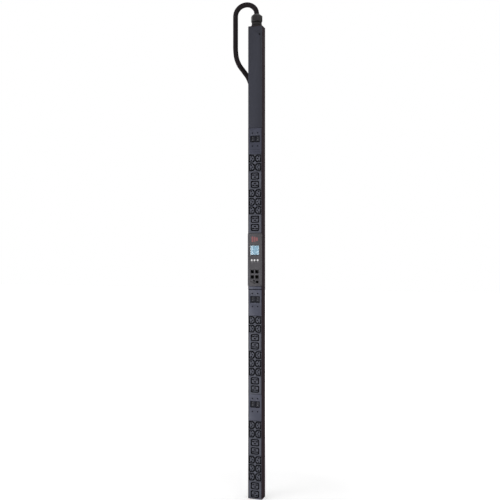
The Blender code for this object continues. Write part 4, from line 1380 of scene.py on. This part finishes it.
@dataclass
class BreakerBay:
    """One bay: its front plate, screws, printed marks, and two rocker breakers."""

    datum: Datum
    number: int
    screw_rise: Point = (0.0229, 0.0275)
    screw_across: float = 0.0105
    window: Point = (0.0188, 0.0252)
    sheet: float = 0.0020
    shadow_gap: float = 0.0008
    # Height of the dark strips that paint shade in the gaps at the plate's ends.
    shade_strip_height: float = 0.0034
    label_rises: Point = (0.0090, 0.0182)
    rocker_width: float = 0.0136
    rocker_half: float = 0.0100
    rocker_nose: float = 0.0044
    rocker_horn: float = 0.0062
    rocker_back: float = 0.0035
    ridge_rises: Point = (0.0084, 0.0074)
    rim: Point = (0.0180, 0.0244)
    throw: float = math.radians(-12)
    pivot_depth: float = 0.0083

    def build(self) -> None:
        """Builds the bay's plate and its rockers."""
        low, high = self.datum.local_box(f"breaker_bezel_{self.number}")
        cases = {side: f"breaker_body_{self.number}_{side}" for side in ("left", "right")}
        windows = [self.datum.middle(node) for node in cases.values()]
        spans = [(low.z, high.z)]
        if self.number in PLATE_JOINTS:
            joint = PLATE_JOINTS[self.number]
            spans = [(low.z, joint - 0.0005), (joint + 0.0005, high.z)]
        self._plate(low, high, spans, windows)
        # Painted shade strips in the gaps at the plate's ends, and the label lines.
        self._shade_strips_and_labels(low, high, spans)
        self._screws(windows[0][1])
        self._marks(windows)
        for (side, node), (across, height) in zip(cases.items(), windows):
            self._case_trim(side, across, height)
            self._rocker(side, across, height)
            dress(frame["nodes"][node], Tone.CASE)

    def _plate(self, low: Vector, high: Vector, spans: list[Point], windows: list[Point]) -> None:
        """The front plate with soft-edged windows and its skirts, in one or two lengths.

        Args:
            low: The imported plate's lowest corner.
            high: Its highest corner.
            spans: The bottom and top height of each length.
            windows: The breakers' middles.
        """
        sheet, solid = self.sheet, Solid()
        for foot, top in spans:
            foot, top = foot + self.shadow_gap, top - self.shadow_gap
            face = rounded(high.x - low.x, top - foot, (0.0, (foot + top) / 2), 0.0006)
            holes = [rounded(*self.window, place, 0.0012, 3) for place in windows if foot < place[1] < top]
            solid.slab(face, 0.0, sheet, self.datum.seen_from_front, holes, edge=0.0005)
            for side in (-1, 1):
                middle = (side * (high.x - sheet / 2), (sheet + high.y) / 2)
                skirt = rectangle(sheet, high.y - sheet, middle)
                solid.slab(skirt, foot + 0.0005, top - 0.0005, self.datum.at)
        # Bays 2 and 3 take the lighter copy of the same paint, as painted light.
        tone = Tone.BEZEL if self.number == 1 else Tone.BEZEL_PALE
        solid.piece(f"bay_{self.number}_plate", tone, nodes=(f"breaker_bezel_{self.number}",))

    def _shade_strips_and_labels(self, low: Vector, high: Vector, spans: list[Point]) -> None:
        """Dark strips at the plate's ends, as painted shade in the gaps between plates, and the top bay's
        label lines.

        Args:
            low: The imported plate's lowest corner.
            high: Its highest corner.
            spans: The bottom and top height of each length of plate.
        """
        tall, painted_shade_and_labels = self.shade_strip_height, Solid()
        # Near-black strips just behind the plate's ends: painted shade in the gaps.
        for height in (end for span in spans for end in span):
            middle = min(max(height, low.z + tall / 2), high.z - tall / 2)
            strip = rectangle(high.x * 2, tall, (0.0, middle))
            painted_shade_and_labels.slab(strip, self.sheet * 0.8, self.sheet * 1.2, self.datum.seen_from_front)
        for rise in self.label_rises if self.number == 1 else ():
            line = rectangle(0.0420, 0.0007, (0.0, low.z + rise))
            painted_shade_and_labels.printed(line, self.datum, proud=0.00005)
        painted_shade_and_labels.piece(f"bay_{self.number}_shade_strips_and_labels", Tone.BLACK)

    def _screws(self, middle: float) -> None:
        """The plate's four screws.

        Args:
            middle: The breakers' height.
        """
        screws, (above, below) = Solid(), self.screw_rise
        for side in (-1, 1):
            for rise in (above, -below):
                place = (side * self.screw_across, middle + rise)
                add_screw(screws, self.datum, place, 0.0, 0.0026, 0.0009)
        screws.piece(f"bay_{self.number}_screws", Tone.SCREW)

    def _marks(self, windows: list[Point]) -> None:
        """Three short lines and a ring printed above each breaker.

        Args:
            windows: The breakers' middles.
        """
        marks = Solid()
        for across, height in windows:
            for i in range(3):
                middle = (across - 0.004, height + 0.0158 + 0.0014 * i)
                marks.printed(rectangle(0.0060 - 0.0012 * i, 0.0007, middle), self.datum)
            middle = (across + 0.0050, height + 0.0170)
            marks.printed(circle(0.0014, middle, 20), self.datum, holes=[circle(0.0010, middle, 20)])
        marks.piece(f"bay_{self.number}_marks", Tone.MARK_DIM)

    def _case_trim(self, side: str, across: float, height: float) -> None:
        """The raised rim that guards the rocker inside the window.

        Args:
            side: Which of the bay's two breakers it is.
            across: The breaker's place across.
            height: The breaker's height.
        """
        rim, middle = Solid(), (across, height)
        outer = rounded(*self.rim, middle, 0.0010)
        inner = rounded(self.rocker_width + 0.0009, 2 * self.rocker_half + 0.0040, middle, 0.0008)
        rim.slab(outer, 0.0012, 0.0026, self.datum.seen_from_front, [inner], edge=0.0004)
        rim.piece(f"bay_{self.number}_{side}_rim", Tone.CASE)

    def _rocker(self, side: str, across: float, height: float) -> None:
        """A rocker with two dished faces, its grip ridges, and a bar and a ring as on and off marks.

        Args:
            side: Which of the bay's two breakers it is.
            across: The breaker's place across.
            height: The breaker's height.
        """
        half, wide = self.rocker_half, self.rocker_width
        nose, horn, back = self.rocker_nose, self.rocker_horn, self.rocker_back

        def place(depth: float, rise: float, sideways: float) -> Vector:
            """Turns a place on the rocker, about its pivot, into a point of the frame.

            Args:
                depth: How far behind the pivot, before the rocker is tipped.
                rise: How far above the pivot, before the rocker is tipped.
                sideways: How far to the right of its middle.

            Returns:
                The point.
            """
            turned = Vector((depth, rise))
            turned.rotate(Matrix.Rotation(self.throw, 2))
            return self.datum.at(across + sideways, self.pivot_depth + turned.x, height + turned.y)

        def face_depth(share: float) -> float:
            """How far the dished face lies behind the pivot, at a share of its half height."""
            return -nose - (horn - nose) * share**1.7

        steps = 7
        shares = (i / steps for i in range(-steps, steps + 1))
        face = [(face_depth(abs(share)), half * 0.985 * share) for share in shares]
        rear = [(-nose * 0.75, half), (back * 0.9, half * 0.42), (back, half * 0.3)]
        outline = face + rear + [(depth, -rise) for depth, rise in reversed(rear)]
        solid = Solid()
        solid.slab(outline, -wide / 2, wide / 2, place, edge=0.0005, back_edge=0.0005, steps=3)
        for rise in (*self.ridge_rises, *(-rise for rise in reversed(self.ridge_rises))):
            depth = face_depth(abs(rise) / half)
            top, root = depth - 0.00030, depth + 0.0008
            ridge = [
                (top, rise - 0.00020), (top, rise + 0.00020), (root, rise + 0.00035), (root, rise - 0.00035),
            ]
            solid.slab(ridge, -wide * 0.38, wide * 0.38, place)
        node = f"breaker_rocker_{self.number}_{side}"
        body = f"rocker_{self.number}_{side}"
        solid.piece(f"bay_{self.number}_{side}_rocker", Tone.ROCKER, body, (node,))

        def flat(sideways: float, rise: float, depth: float) -> Vector:
            """Place for a mark drawn on the rocker's face."""
            return place(depth, rise, sideways)

        marks, centre = Solid(), half * 0.46
        near, far = face_depth(0.5) - 0.00042, face_depth(0.5) + 0.0006
        marks.slab(rounded(0.0009, 0.0034, (0.0, centre), 0.0003), near, far, flat)
        marks.slab(circle(0.0017, (0.0, -centre), 24), near, far, flat, [circle(0.0010, (0.0, -centre), 24)])
        marks.piece(f"bay_{self.number}_{side}_signs", Tone.MARK, body)


def dress(node: bpy.types.Object, tone: Tone) -> None:
    """Gives a carried-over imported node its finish."""
    node.data.materials.clear()
    node.data.materials.append(tone.material())


# ---------------------------------------------------------------- outlets


class Kind(Enum):
    """The two kinds of outlet."""

    SMALL = "c13"
    LARGE = "c19"


@dataclass(frozen=True)
class OutletForm:
    """One kind of outlet's sizes: its island, its contact slots and its row pitch."""

    island: Point
    slot: Point
    pitch: float
    columns: tuple[float, ...]

    def outline(self, across: float, height: float, kind: Kind, grow: float = 0.0) -> Outline:
        """The island's outline, with the two cut corners on the small outlet's earth side.

        Args:
            across: The island's place across.
            height: Its height.
            kind: The kind of outlet.
            grow: How far the outline goes past the island.

        Returns:
            The outline.
        """
        width, tall = self.island[0] + 2 * grow, self.island[1] + 2 * grow
        x, z = width / 2, tall / 2
        plain, key = (0.0035, 0.0035) if kind is Kind.LARGE else (0.0018, 0.0055)
        left, right = (key, plain) if across > 0 or kind is Kind.LARGE else (plain, key)
        corners = [
            (-x, -z + left), (-x + left, -z), (x - right, -z), (x, -z + right),
            (x, z - right), (x - right, z), (-x + left, z), (-x, z - left),
        ]
        return soften([(across + a, height + b) for a, b in corners], 0.0008, 2)

    def contacts(self, across: float, height: float, kind: Kind, mirrored: bool) -> list[Point]:
        """Finds the places of the three contacts.

        Args:
            across: The outlet's place across.
            height: Its height.
            kind: The kind of outlet.
            mirrored: Whether a large outlet has its single contact above.

        Returns:
            The contacts' middles.
        """
        if kind is Kind.LARGE:
            rise = -0.0040 if mirrored else 0.0040
            return [(-0.0065, height + rise), (0.0065, height + rise), (0.0, height - rise)]
        side = 0.0020 if across > 0 else -0.0020
        return [(across + side, height + 0.0070), (across + side, height - 0.0070), (across - side, height)]


FORMS = {
    Kind.SMALL: OutletForm((0.0170, 0.0232), (0.0048, 0.0026), 0.0327, (-0.0126, 0.0126)),
    Kind.LARGE: OutletForm((0.0272, 0.0206), (0.0088, 0.0030), 0.0318, (0.0,)),
}


@dataclass
class OutletBlock:
    """A moulded block of outlets: its face, the islands in their grooves, and the floor behind."""

    datum: Datum
    node: str
    kind: Kind
    rows: int
    groove: float = 0.0030
    groove_depth: float = 0.0150
    island_edge: float = 0.0009
    end_reach: float = 0.0348 / 2 - 0.00015
    tick: Point = (0.0010, 0.0020)
    tick_pitch: float = 0.0031

    def heights(self, low: Vector, high: Vector) -> list[float]:
        """Spreads the rows about the block's own middle, or from its end that meets another block.

        Args:
            low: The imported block's lowest corner.
            high: Its highest corner.

        Returns:
            The rows' heights, from the top down.
        """
        form = FORMS[self.kind]
        upper = "upper" in self.node and self.kind is Kind.SMALL
        lowest = self.kind is Kind.LARGE and "lower" in self.node
        if lowest:
            first = high.z - self.end_reach
        elif upper:
            first = low.z + self.end_reach + form.pitch * (self.rows - 1)
        else:
            first = (low.z + high.z) / 2 + form.pitch * (self.rows - 1) / 2
        return [first - form.pitch * i for i in range(self.rows)]

    def build(self) -> None:
        """Builds the block in one piece."""
        low, high = self.datum.local_box(self.node)
        form, place, kind = FORMS[self.kind], self.datum.seen_from_front, self.kind
        outlets = [
            (across, height, row == 1)
            for row, height in enumerate(self.heights(low, high)) for across in form.columns
        ]
        rims = [form.outline(across, height, kind, self.groove) for across, height, _ in outlets]
        solid = Solid()
        solid.slab(self.datum.outline(self.node, 0.0006), 0.0, high.y, place, rims, edge=0.0005)
        for (across, height, mirrored), rim in zip(outlets, rims):
            island = form.outline(across, height, kind)
            spots = form.contacts(across, height, kind, mirrored)
            slots = [rounded(*form.slot, spot, 0.0003, 2) for spot in spots]
            solid.slab(island, 0.0, high.y, place, slots, edge=self.island_edge)
            solid.slab(inset(rim, -0.0002), self.groove_depth, high.y, place, [inset(island, 0.0002)])
        # Faces behind the front take the near-black tone, painted shade in the grooves and slots.
        solid.piece(
            self.node.replace("block", "outlets"), Tone.OUTLET, nodes=(self.node,),
            deep=(Tone.WELL, self.datum.front + 0.00005),
        )
        self._ticks(outlets)

    def _ticks(self, outlets: list[tuple[float, float, bool]]) -> None:
        """Small printed ticks by each outlet, in place of numbers.

        Args:
            outlets: Each outlet's place across, its height, and whether it is mirrored.
        """
        marks = Solid()
        form = FORMS[self.kind]
        for i, (across, height, _) in enumerate(outlets):
            side = 1 if across > 0 else -1
            edge = side * 0.0243 if self.kind is Kind.SMALL else 0.0215
            for k in range(1 + i % 3):
                middle = (edge, height + form.island[1] * 0.32 - self.tick_pitch * k)
                marks.printed(rectangle(*self.tick, middle), self.datum, proud=0.00005)
        marks.piece(self.node.replace("block", "index"), Tone.MARK_DIM)


@dataclass
class OutletBank:
    """A bank of four outlet blocks."""

    datum: Datum
    number: int

    def build(self) -> None:
        """Builds the bank's blocks from the top down."""
        n = self.number
        for node, kind, rows in (
            (f"c13_block_{n}_upper", Kind.SMALL, 2), (f"c19_block_{n}_upper", Kind.LARGE, 2),
            (f"c13_block_{n}_lower", Kind.SMALL, 3), (f"c19_block_{n}_lower", Kind.LARGE, 2),
        ):
            OutletBlock(self.datum, node, kind, rows).build()


# ---------------------------------------------------------------- display


@dataclass
class DisplayModule:
    """The metering module: shell, screen, buttons, network and sensor jacks, port and reset."""

    datum: Datum
    wall: float = 0.0020
    edge: float = 0.0011
    gap: float = 0.0003
    corner: float = 0.0028
    key: Point = (0.0084, 0.0086)
    key_foot: Point = (0.0102, 0.0104)
    jack_mouth: Point = (0.0124, 0.0120)
    jack_well: Point = (0.0138, 0.0134)
    pins: int = 8
    sensor_mouth: Point = (0.0100, 0.0086)
    sensor_well: Point = (0.0116, 0.0106)
    sensor_pins: int = 4
    well_corner: float = 0.0016
    socket_floor: float = 0.0016
    port_mouth: Point = (0.0050, 0.0104)
    port_tongue: Point = (0.0014, 0.0070)
    text_rows: tuple[float, ...] = (0.92, 0.62, 0.78, 0.50)
    text_pitch: float = 0.0062

    def build(self) -> None:
        """Builds every piece of the module."""
        self.low, self.high = self.datum.local_box("display_bezel")
        self.face = self.low.y
        self._shell()
        self._screen()
        self._buttons()
        self._jacks()
        self._port()
        self._marks()

    def _drop(self, across: float, height: float, width: float, tall: float) -> Outline:
        """Draws a drop that points left.

        Args:
            across: Its middle's place across.
            height: Its height.
            width: How wide it is.
            tall: How tall it is.

        Returns:
            The outline.
        """
        radius = tall / 2
        middle = across + width / 2 - radius
        arc = [math.radians(a) for a in range(-100, 101, 20)]
        points = [(middle + radius * math.cos(a), height + radius * math.sin(a)) for a in arc]
        tip = across - width / 2
        return points + [(tip + 0.0005, height + 0.0006), (tip, height), (tip + 0.0005, height - 0.0006)]

    def _shell(self) -> None:
        """The shell with its rounded face, its side walls and every opening."""
        place = self.datum.seen_from_front
        size = (self.high.x - self.low.x, self.high.z - self.low.z)
        centre = (0.0, (self.low.z + self.high.z) / 2)
        openings = {
            "display_window": 0.0012, "network_jack_block": 0.0004, "sensor_jack": 0.0004,
            "service_port": 0.0004,
        }
        holes = [self.datum.outline(node, corner, self.gap) for node, corner in openings.items()]
        for number in (1, 2, 3):
            middle = self.datum.middle(f"menu_button_{number}")
            holes.append(self._drop(*middle, *(side + 2 * self.gap for side in self.key)))
        holes.append(circle(0.0018, self.datum.middle("reset_button"), 20))
        solid, face, wall = Solid(), self.face, self.wall
        outer = rounded(*size, centre, self.corner, 4)
        inner = rounded(size[0] - 2 * wall, size[1] - 2 * wall, centre, 0.0012, 4)
        solid.slab(outer, face, face + wall, place, holes, edge=self.edge, steps=4)
        solid.slab(outer, face + wall, self.high.y, place, [inner])
        solid.piece("display_shell", Tone.DISPLAY, nodes=("display_bezel",))
        seams = Solid()
        for height in (self.low.z + 0.0006, self.high.z - 0.0006):
            groove = rounded(size[0] - 0.0012, 0.0005, (0.0, height), 0.0002)
            seams.slab(groove, self.face + 0.0010, self.face + 0.0014, place)
        seams.piece("display_seams", Tone.BLACK)

    def _screen(self) -> None:
        """The dark frame, the window, the lit panel, and what it shows: bars and counters."""
        place = self.datum.seen_from_front
        low, high = self.datum.local_box("display_window")
        size, centre = (high.x - low.x, high.z - low.z), self.datum.middle("display_window")
        frame_ring = Solid()
        inner = rounded(size[0] - 0.0036, size[1] - 0.0036, centre, 0.0008)
        outer = rounded(size[0] + 0.0010, size[1] + 0.0010, centre, 0.0012)
        frame_ring.slab(outer, low.y + 0.0011, low.y + 0.0022, place, [inner], edge=0.0003)
        frame_ring.piece("screen_frame", Tone.BLACK)
        pane = Solid()
        pane.slab(rounded(*size, centre, 0.0010), low.y, low.y + 0.0009, place, edge=0.0002)
        pane.piece("screen_pane", Tone.WINDOW, nodes=("display_window",))
        panel_low, panel_high = self.datum.local_box("lcd_panel")
        panel = Solid()
        lit = rounded(panel_high.x - panel_low.x, panel_high.z - panel_low.z, centre, 0.0008)
        panel.slab(lit, panel_low.y, panel_high.y, place, edge=0.0003)
        panel.piece("screen_panel", Tone.SCREEN, nodes=("lcd_panel",))
        ink, datum, depth = Solid(), self.datum, panel_low.y
        thin = {"proud": 0.00008, "sunk": 0.0001}
        left, top = centre[0] - size[0] * 0.40, centre[1] + size[1] * 0.36
        wide = size[0] * 0.80
        for row, share in enumerate(self.text_rows):
            height = top - self.text_pitch * row
            bar = rounded(wide * share, 0.0012, (left + wide * share / 2, height), 0.0003)
            ink.printed(bar, datum, depth, **thin)
            for k in range(round(share * 12)):
                tick = rectangle(0.0008, 0.0016, (left + 0.0012 + wide / 12 * k, height - 0.0026))
                ink.printed(tick, datum, depth, **thin)
        for k in range(3):
            middle = (left + wide * (0.16 + 0.34 * k), centre[1] - size[1] * 0.33)
            ink.printed(circle(0.0030, middle, 24), datum, depth, [circle(0.0023, middle, 24)], **thin)
        ink.piece("screen_signs", Tone.INK)

    def _buttons(self) -> None:
        """Three drop-shaped keys with soft edges, and the recessed reset pin."""
        place = self.datum.seen_from_front
        for number in (1, 2, 3):
            node = f"menu_button_{number}"
            low, high = self.datum.local_box(node)
            middle = self.datum.middle(node)
            key = Solid()
            top = self._drop(*middle, *self.key)
            key.slab(top, low.y, low.y + 0.0034, place, edge=0.0007, steps=4)
            key.slab(rounded(*self.key_foot, middle, 0.0010), low.y + 0.0034, low.y + 0.0042, place)
            key.slab(rectangle(0.0030, 0.0030, middle), low.y + 0.0042, high.y, place)
            key.piece(f"menu_key_{number}", Tone.BUTTON, node, (node,))
        low, high = self.datum.local_box("reset_button")
        middle = self.datum.middle("reset_button")

        def at(a: float, b: float, along: float) -> Vector:
            """A place round the pin's axis, which runs into the face."""
            return self.datum.at(middle[0] + a, along, middle[1] + b)

        profile = [
            (0.0005, low.y), (0.0011, low.y), (0.0014, low.y + 0.0003), (0.0014, high.y - 0.0002),
            (0.0005, high.y),
        ]
        pin = Solid().turned(profile, at, 20)
        pin.piece("reset_pin", Tone.BLACK, "reset_button", ("reset_button",))

    def _socket(self, solid: Solid, pins: Solid, centre: Point, size: Point, count: int) -> Outline:
        """Adds a modular jack's contact wires, and gives the stepped outline of its mouth.

        Args:
            solid: The jack's housing, which takes the comb that holds the wires.
            pins: The solid that takes the wires.
            centre: The mouth's middle.
            size: The mouth's width and height.
            count: How many wires it has.

        Returns:
            The mouth's outline, with the two steps that take a plug's latch.
        """
        place = self.datum.seen_from_front
        x, z = size[0] / 2, size[1] / 2
        neck, tongue, latch = size[1] * 0.13, x * 0.30, x * 0.52
        step = -z + size[1] * 0.20 + neck
        right = [(tongue, -z), (tongue, -z + neck), (latch, -z + neck), (latch, step), (x, step), (x, z)]
        shape = [(-a, b) for a, b in reversed(right)] + right
        face = self.face
        wire = [
            (face + 0.0016, z * 0.80), (face + 0.0019, z * 0.86), (face + 0.0113, z * 0.28),
            (face + 0.0110, z * 0.20),
        ]
        outline = [(depth, centre[1] + rise) for depth, rise in wire]

        def upright(depth: float, rise: float, along: float) -> Vector:
            """Place for an outline drawn from the side and extruded across."""
            return self.datum.at(along, depth, rise)

        for i in range(count):
            across = centre[0] + (i - (count - 1) / 2) * size[0] * 0.80 / count
            pins.slab(outline, across - 0.00022, across + 0.00022, upright)
        comb = rectangle(size[0] * 0.9, 0.0009, (centre[0], centre[1] + z - 0.0005))
        solid.slab(comb, self.face + 0.0018, self.face + 0.0100, place)
        return [(centre[0] + a, centre[1] + b) for a, b in shape]

    def _jacks(self) -> None:
        """The block of four network jacks and the sensor jack, with their wires."""
        place = self.datum.seen_from_front
        low, high = self.datum.local_box("network_jack_block")
        rim = self.datum.outline("network_jack_block", 0.0004)
        pins, block = Solid(), Solid()
        mouths, spots = [], []
        for opening in frame["record"]["physics"]["openings"]:
            box = opening["box_m"]
            spot = ((box[0][0] + box[1][0]) / 2, (box[0][2] + box[1][2]) / 2 - self.datum.foot)
            if low.z < spot[1] < high.z:
                spots.append(spot)
                mouths.append(self._socket(block, pins, spot, self.jack_mouth, self.pins))
        floor = high.y - self.socket_floor
        block.slab(rim, low.y - 0.0002, floor, place, mouths, edge=0.0004)
        block.slab(rim, floor, high.y, place)
        block.piece("network_jacks", Tone.BLACK, nodes=("network_jack_block",))
        apron = Solid()
        wells = [rounded(*self.jack_well, spot, self.well_corner) for spot in spots]
        apron.slab(rim, low.y - 0.0005, low.y - 0.0001, place, wells, edge=0.0002)
        low, high = self.datum.local_box("sensor_jack")
        sensor, floor = Solid(), high.y - self.socket_floor
        centre, rim = self.datum.middle("sensor_jack"), self.datum.outline("sensor_jack", 0.0004)
        mouth = self._socket(sensor, pins, centre, self.sensor_mouth, self.sensor_pins)
        sensor.slab(rim, low.y - 0.0001, floor, place, [mouth], edge=0.0003)
        sensor.slab(rim, floor, high.y, place)
        sensor.piece("sensor_socket", Tone.BLACK, nodes=("sensor_jack",))
        well = rounded(*self.sensor_well, centre, self.well_corner)
        apron.slab(rim, low.y - 0.0005, low.y - 0.0001, place, [well])
        apron.piece("jack_apron", Tone.DISPLAY)
        pins.piece("jack_wires", Tone.GOLD)

    def _port(self) -> None:
        """The service port: a metal-lined upright mouth with its tongue."""
        place = self.datum.seen_from_front
        low, high = self.datum.local_box("service_port")
        centre, rim = self.datum.middle("service_port"), self.datum.outline("service_port", 0.0004)
        body = Solid()
        mouth = rounded(*self.port_mouth, centre, 0.0004)
        body.slab(rim, low.y, high.y - 0.0010, place, [mouth], edge=0.0003)
        body.slab(rim, high.y - 0.0010, high.y, place)
        tongue = rounded(*self.port_tongue, centre, 0.0003)
        body.slab(tongue, low.y + 0.0020, high.y - 0.0008, place, edge=0.0003)
        body.piece("service_socket", Tone.BLACK, nodes=("service_port",))
        lining = Solid()
        outer = rounded(0.0052, 0.0106, centre, 0.0005)
        inner = rounded(0.0046, 0.0100, centre, 0.0004)
        lining.slab(outer, low.y - 0.0001, high.y - 0.0012, place, [inner], edge=0.0001)
        lining.piece("service_lining", Tone.PLATED)

    def _marks(self) -> None:
        """A plain badge of three bars above the screen, and dashes that label the keys and jacks."""
        datum, face = self.datum, self.face
        screen_top = datum.local_box("display_window")[1].z
        badge = Solid()
        middle = (screen_top + self.high.z) / 2
        for k in range(3):
            bar = rounded(0.0062, 0.0220 - 0.0040 * k, (-0.0090 + 0.0090 * k, middle), 0.0010)
            badge.printed(bar, datum, face, sunk=0.0001)
        badge.piece("badge_bars", Tone.BADGE)
        marks = Solid()
        jack_low, jack_high = datum.local_box("network_jack_block")
        dashes = []
        for number in (1, 2, 3):
            across, height = datum.middle(f"menu_button_{number}")
            for width, drop in ((0.0050, 0.0072), (0.0034, 0.0086)):
                dashes.append((width, 0.0006, (across, height - drop)))
        for k in range(9):
            tall = 0.0014 if k % 3 else 0.0022
            dashes.append((0.0005, tall, (-0.0180 + 0.0045 * k, jack_high.z + 0.0020)))
        tall, height = jack_high.z - jack_low.z - 0.0040, (jack_low.z + jack_high.z) / 2
        dashes += [(0.0007, tall, (side * 0.0205, height)) for side in (-1, 1)]
        for dash in dashes:
            marks.printed(rectangle(*dash), datum, face, sunk=0.0001)
        marks.piece("display_marks", Tone.MARK)


# ---------------------------------------------------------------- gland


@dataclass
class Gland:
    """The cable gland: flange, ribbed neck, sealing ring and domed hexagon nut."""

    datum: Datum
    ribs: int = 48
    rib_proud: float = 0.0006
    bore: float = 0.01005
    skirt: float = 0.0028
    base_foot: float = -0.0140

    def build(self) -> None:
        """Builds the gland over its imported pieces."""
        top = self.datum.top
        low, high = self.datum.local_box("gland_nut")
        centre_y = (low.y + high.y) / 2
        rise = top - self.datum.foot
        foot, crown = low.z - rise, high.z - rise
        corner = high.x
        flat = corner * math.cos(math.pi / 6)

        def place(a: float, b: float, along: float) -> Vector:
            """A place round the gland's axis, which runs up from the top plate."""
            return Vector((a, self.datum.front + centre_y + b, top + along))

        def hexagon(size: float, angle: float, _along: float) -> float:
            """The nut's radius, cut back to its six flats."""
            from_flat = (angle % (math.pi / 3)) - math.pi / 6
            return min(size, flat / math.cos(from_flat), corner * 0.985)

        def ribbed(size: float, angle: float, along: float) -> float:
            """The neck's radius, with its upright ribs."""
            ribbed_part = 0.0068 < along < foot - 0.0078 and size > 0.017
            return size + (self.rib_proud * max(0.0, math.cos(self.ribs * angle)) if ribbed_part else 0.0)

        bore, base_foot, skirt = self.bore, self.base_foot, foot - self.skirt
        nut = [
            (bore + 0.0060, skirt), (flat * 0.985, skirt), (flat, foot - 0.0024),
            (corner, foot - 0.0008), (corner, crown - 0.0092), (flat * 1.04, crown - 0.0074),
            (flat * 0.97, crown - 0.0060), (flat * 0.86, crown - 0.0046), (flat * 0.76, crown - 0.0036),
            (flat * 0.69, crown - 0.0026), (flat * 0.66, crown - 0.0006), (flat * 0.63, crown),
            (bore + 0.0014, crown), (bore + 0.0004, crown - 0.0010), (bore, crown - 0.0030),
            (bore, crown - 0.0116), (bore + 0.0060, crown - 0.0116),
        ]
        cap = Solid().turned(nut, place, 96, hollow=True, shape=hexagon)
        cap.piece("gland_cap", Tone.GLAND, nodes=("gland_nut",))
        base = [
            (bore, base_foot), (0.0150, base_foot), (0.0157, base_foot + 0.0007), (0.0157, 0.0003),
            (0.0224, 0.0003), (0.0230, 0.0009), (0.0230, 0.0034), (0.0222, 0.0042), (0.0172, 0.0046),
            (0.0172, 0.0066), (0.0192, 0.0070), (0.0192, foot - 0.0080), (0.0192, foot - 0.0074),
            (0.0172, foot - 0.0068), (0.0160, foot - 0.0008), (0.0160, foot + 0.0150),
            (bore + 0.0030, foot + 0.0150), (bore + 0.0030, foot - 0.0020), (bore, foot - 0.0020),
        ]
        body = Solid().turned(base, place, 192, hollow=True, shape=ribbed)
        body.piece("gland_base", Tone.GLAND, nodes=("gland_body",))
        # Dark rings in the grooves above the flange and under the nut: painted shade.
        shadow = Solid()
        for lower, upper in ((0.0047, 0.0065), (foot - 0.0066, foot - 0.0029)):
            band = [(0.0170, lower), (0.0177, lower), (0.0177, upper), (0.0170, upper)]
            shadow.turned(band, place, 64, hollow=True)
        shadow.piece("gland_groove_shade", Tone.SEAL)
        seal = Solid().turned(
            [(bore, crown - 0.0006), (bore + 0.0012, crown - 0.0003), (bore + 0.0016, crown - 0.0008),
             (bore + 0.0026, crown - 0.0125), (bore + 0.0026, foot + 0.0020), (bore, foot + 0.0020)],
            place, 48, hollow=True,
        )
        seal.piece("gland_ring", Tone.SEAL, nodes=("gland_seal",))


# ---------------------------------------------------------------- inside

INNER_NODES = {
    "gland_locknut": Tone.GLAND,
    "terminal_block": Tone.BLACK,
    "controller_board": Tone.BOARD,
    **dict.fromkeys(("earth_busbar", "neutral_busbar"), Tone.BARS),
    **{f"line_busbar_{number}": Tone.BARS for number in (1, 2, 3)},
}


def dress_inside() -> None:
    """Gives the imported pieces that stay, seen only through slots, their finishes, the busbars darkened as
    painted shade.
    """
    for name, tone in INNER_NODES.items():
        dress(frame["nodes"][name], tone)
        LOG.info("%s kept and dressed", name)


def main() -> None:
    """Builds the strip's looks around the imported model."""
    logging.basicConfig(level=logging.INFO, format="%(message)s")
    datum = Datum.from_frame()
    Studio().build()
    PowerCord(datum).build()
    Enclosure(datum).build()
    Gland(datum).build()
    DisplayModule(datum).build()
    for number in (1, 2, 3):
        BreakerBay(datum, number).build()
        OutletBank(datum, number).build()
    dress_inside()
    boxes = {"packed": CAD_BOUNDS, "dressed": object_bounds()}
    sizes = {name: [list(corner) for corner in box] for name, box in boxes.items()}


if __name__ == "__main__":
    main()
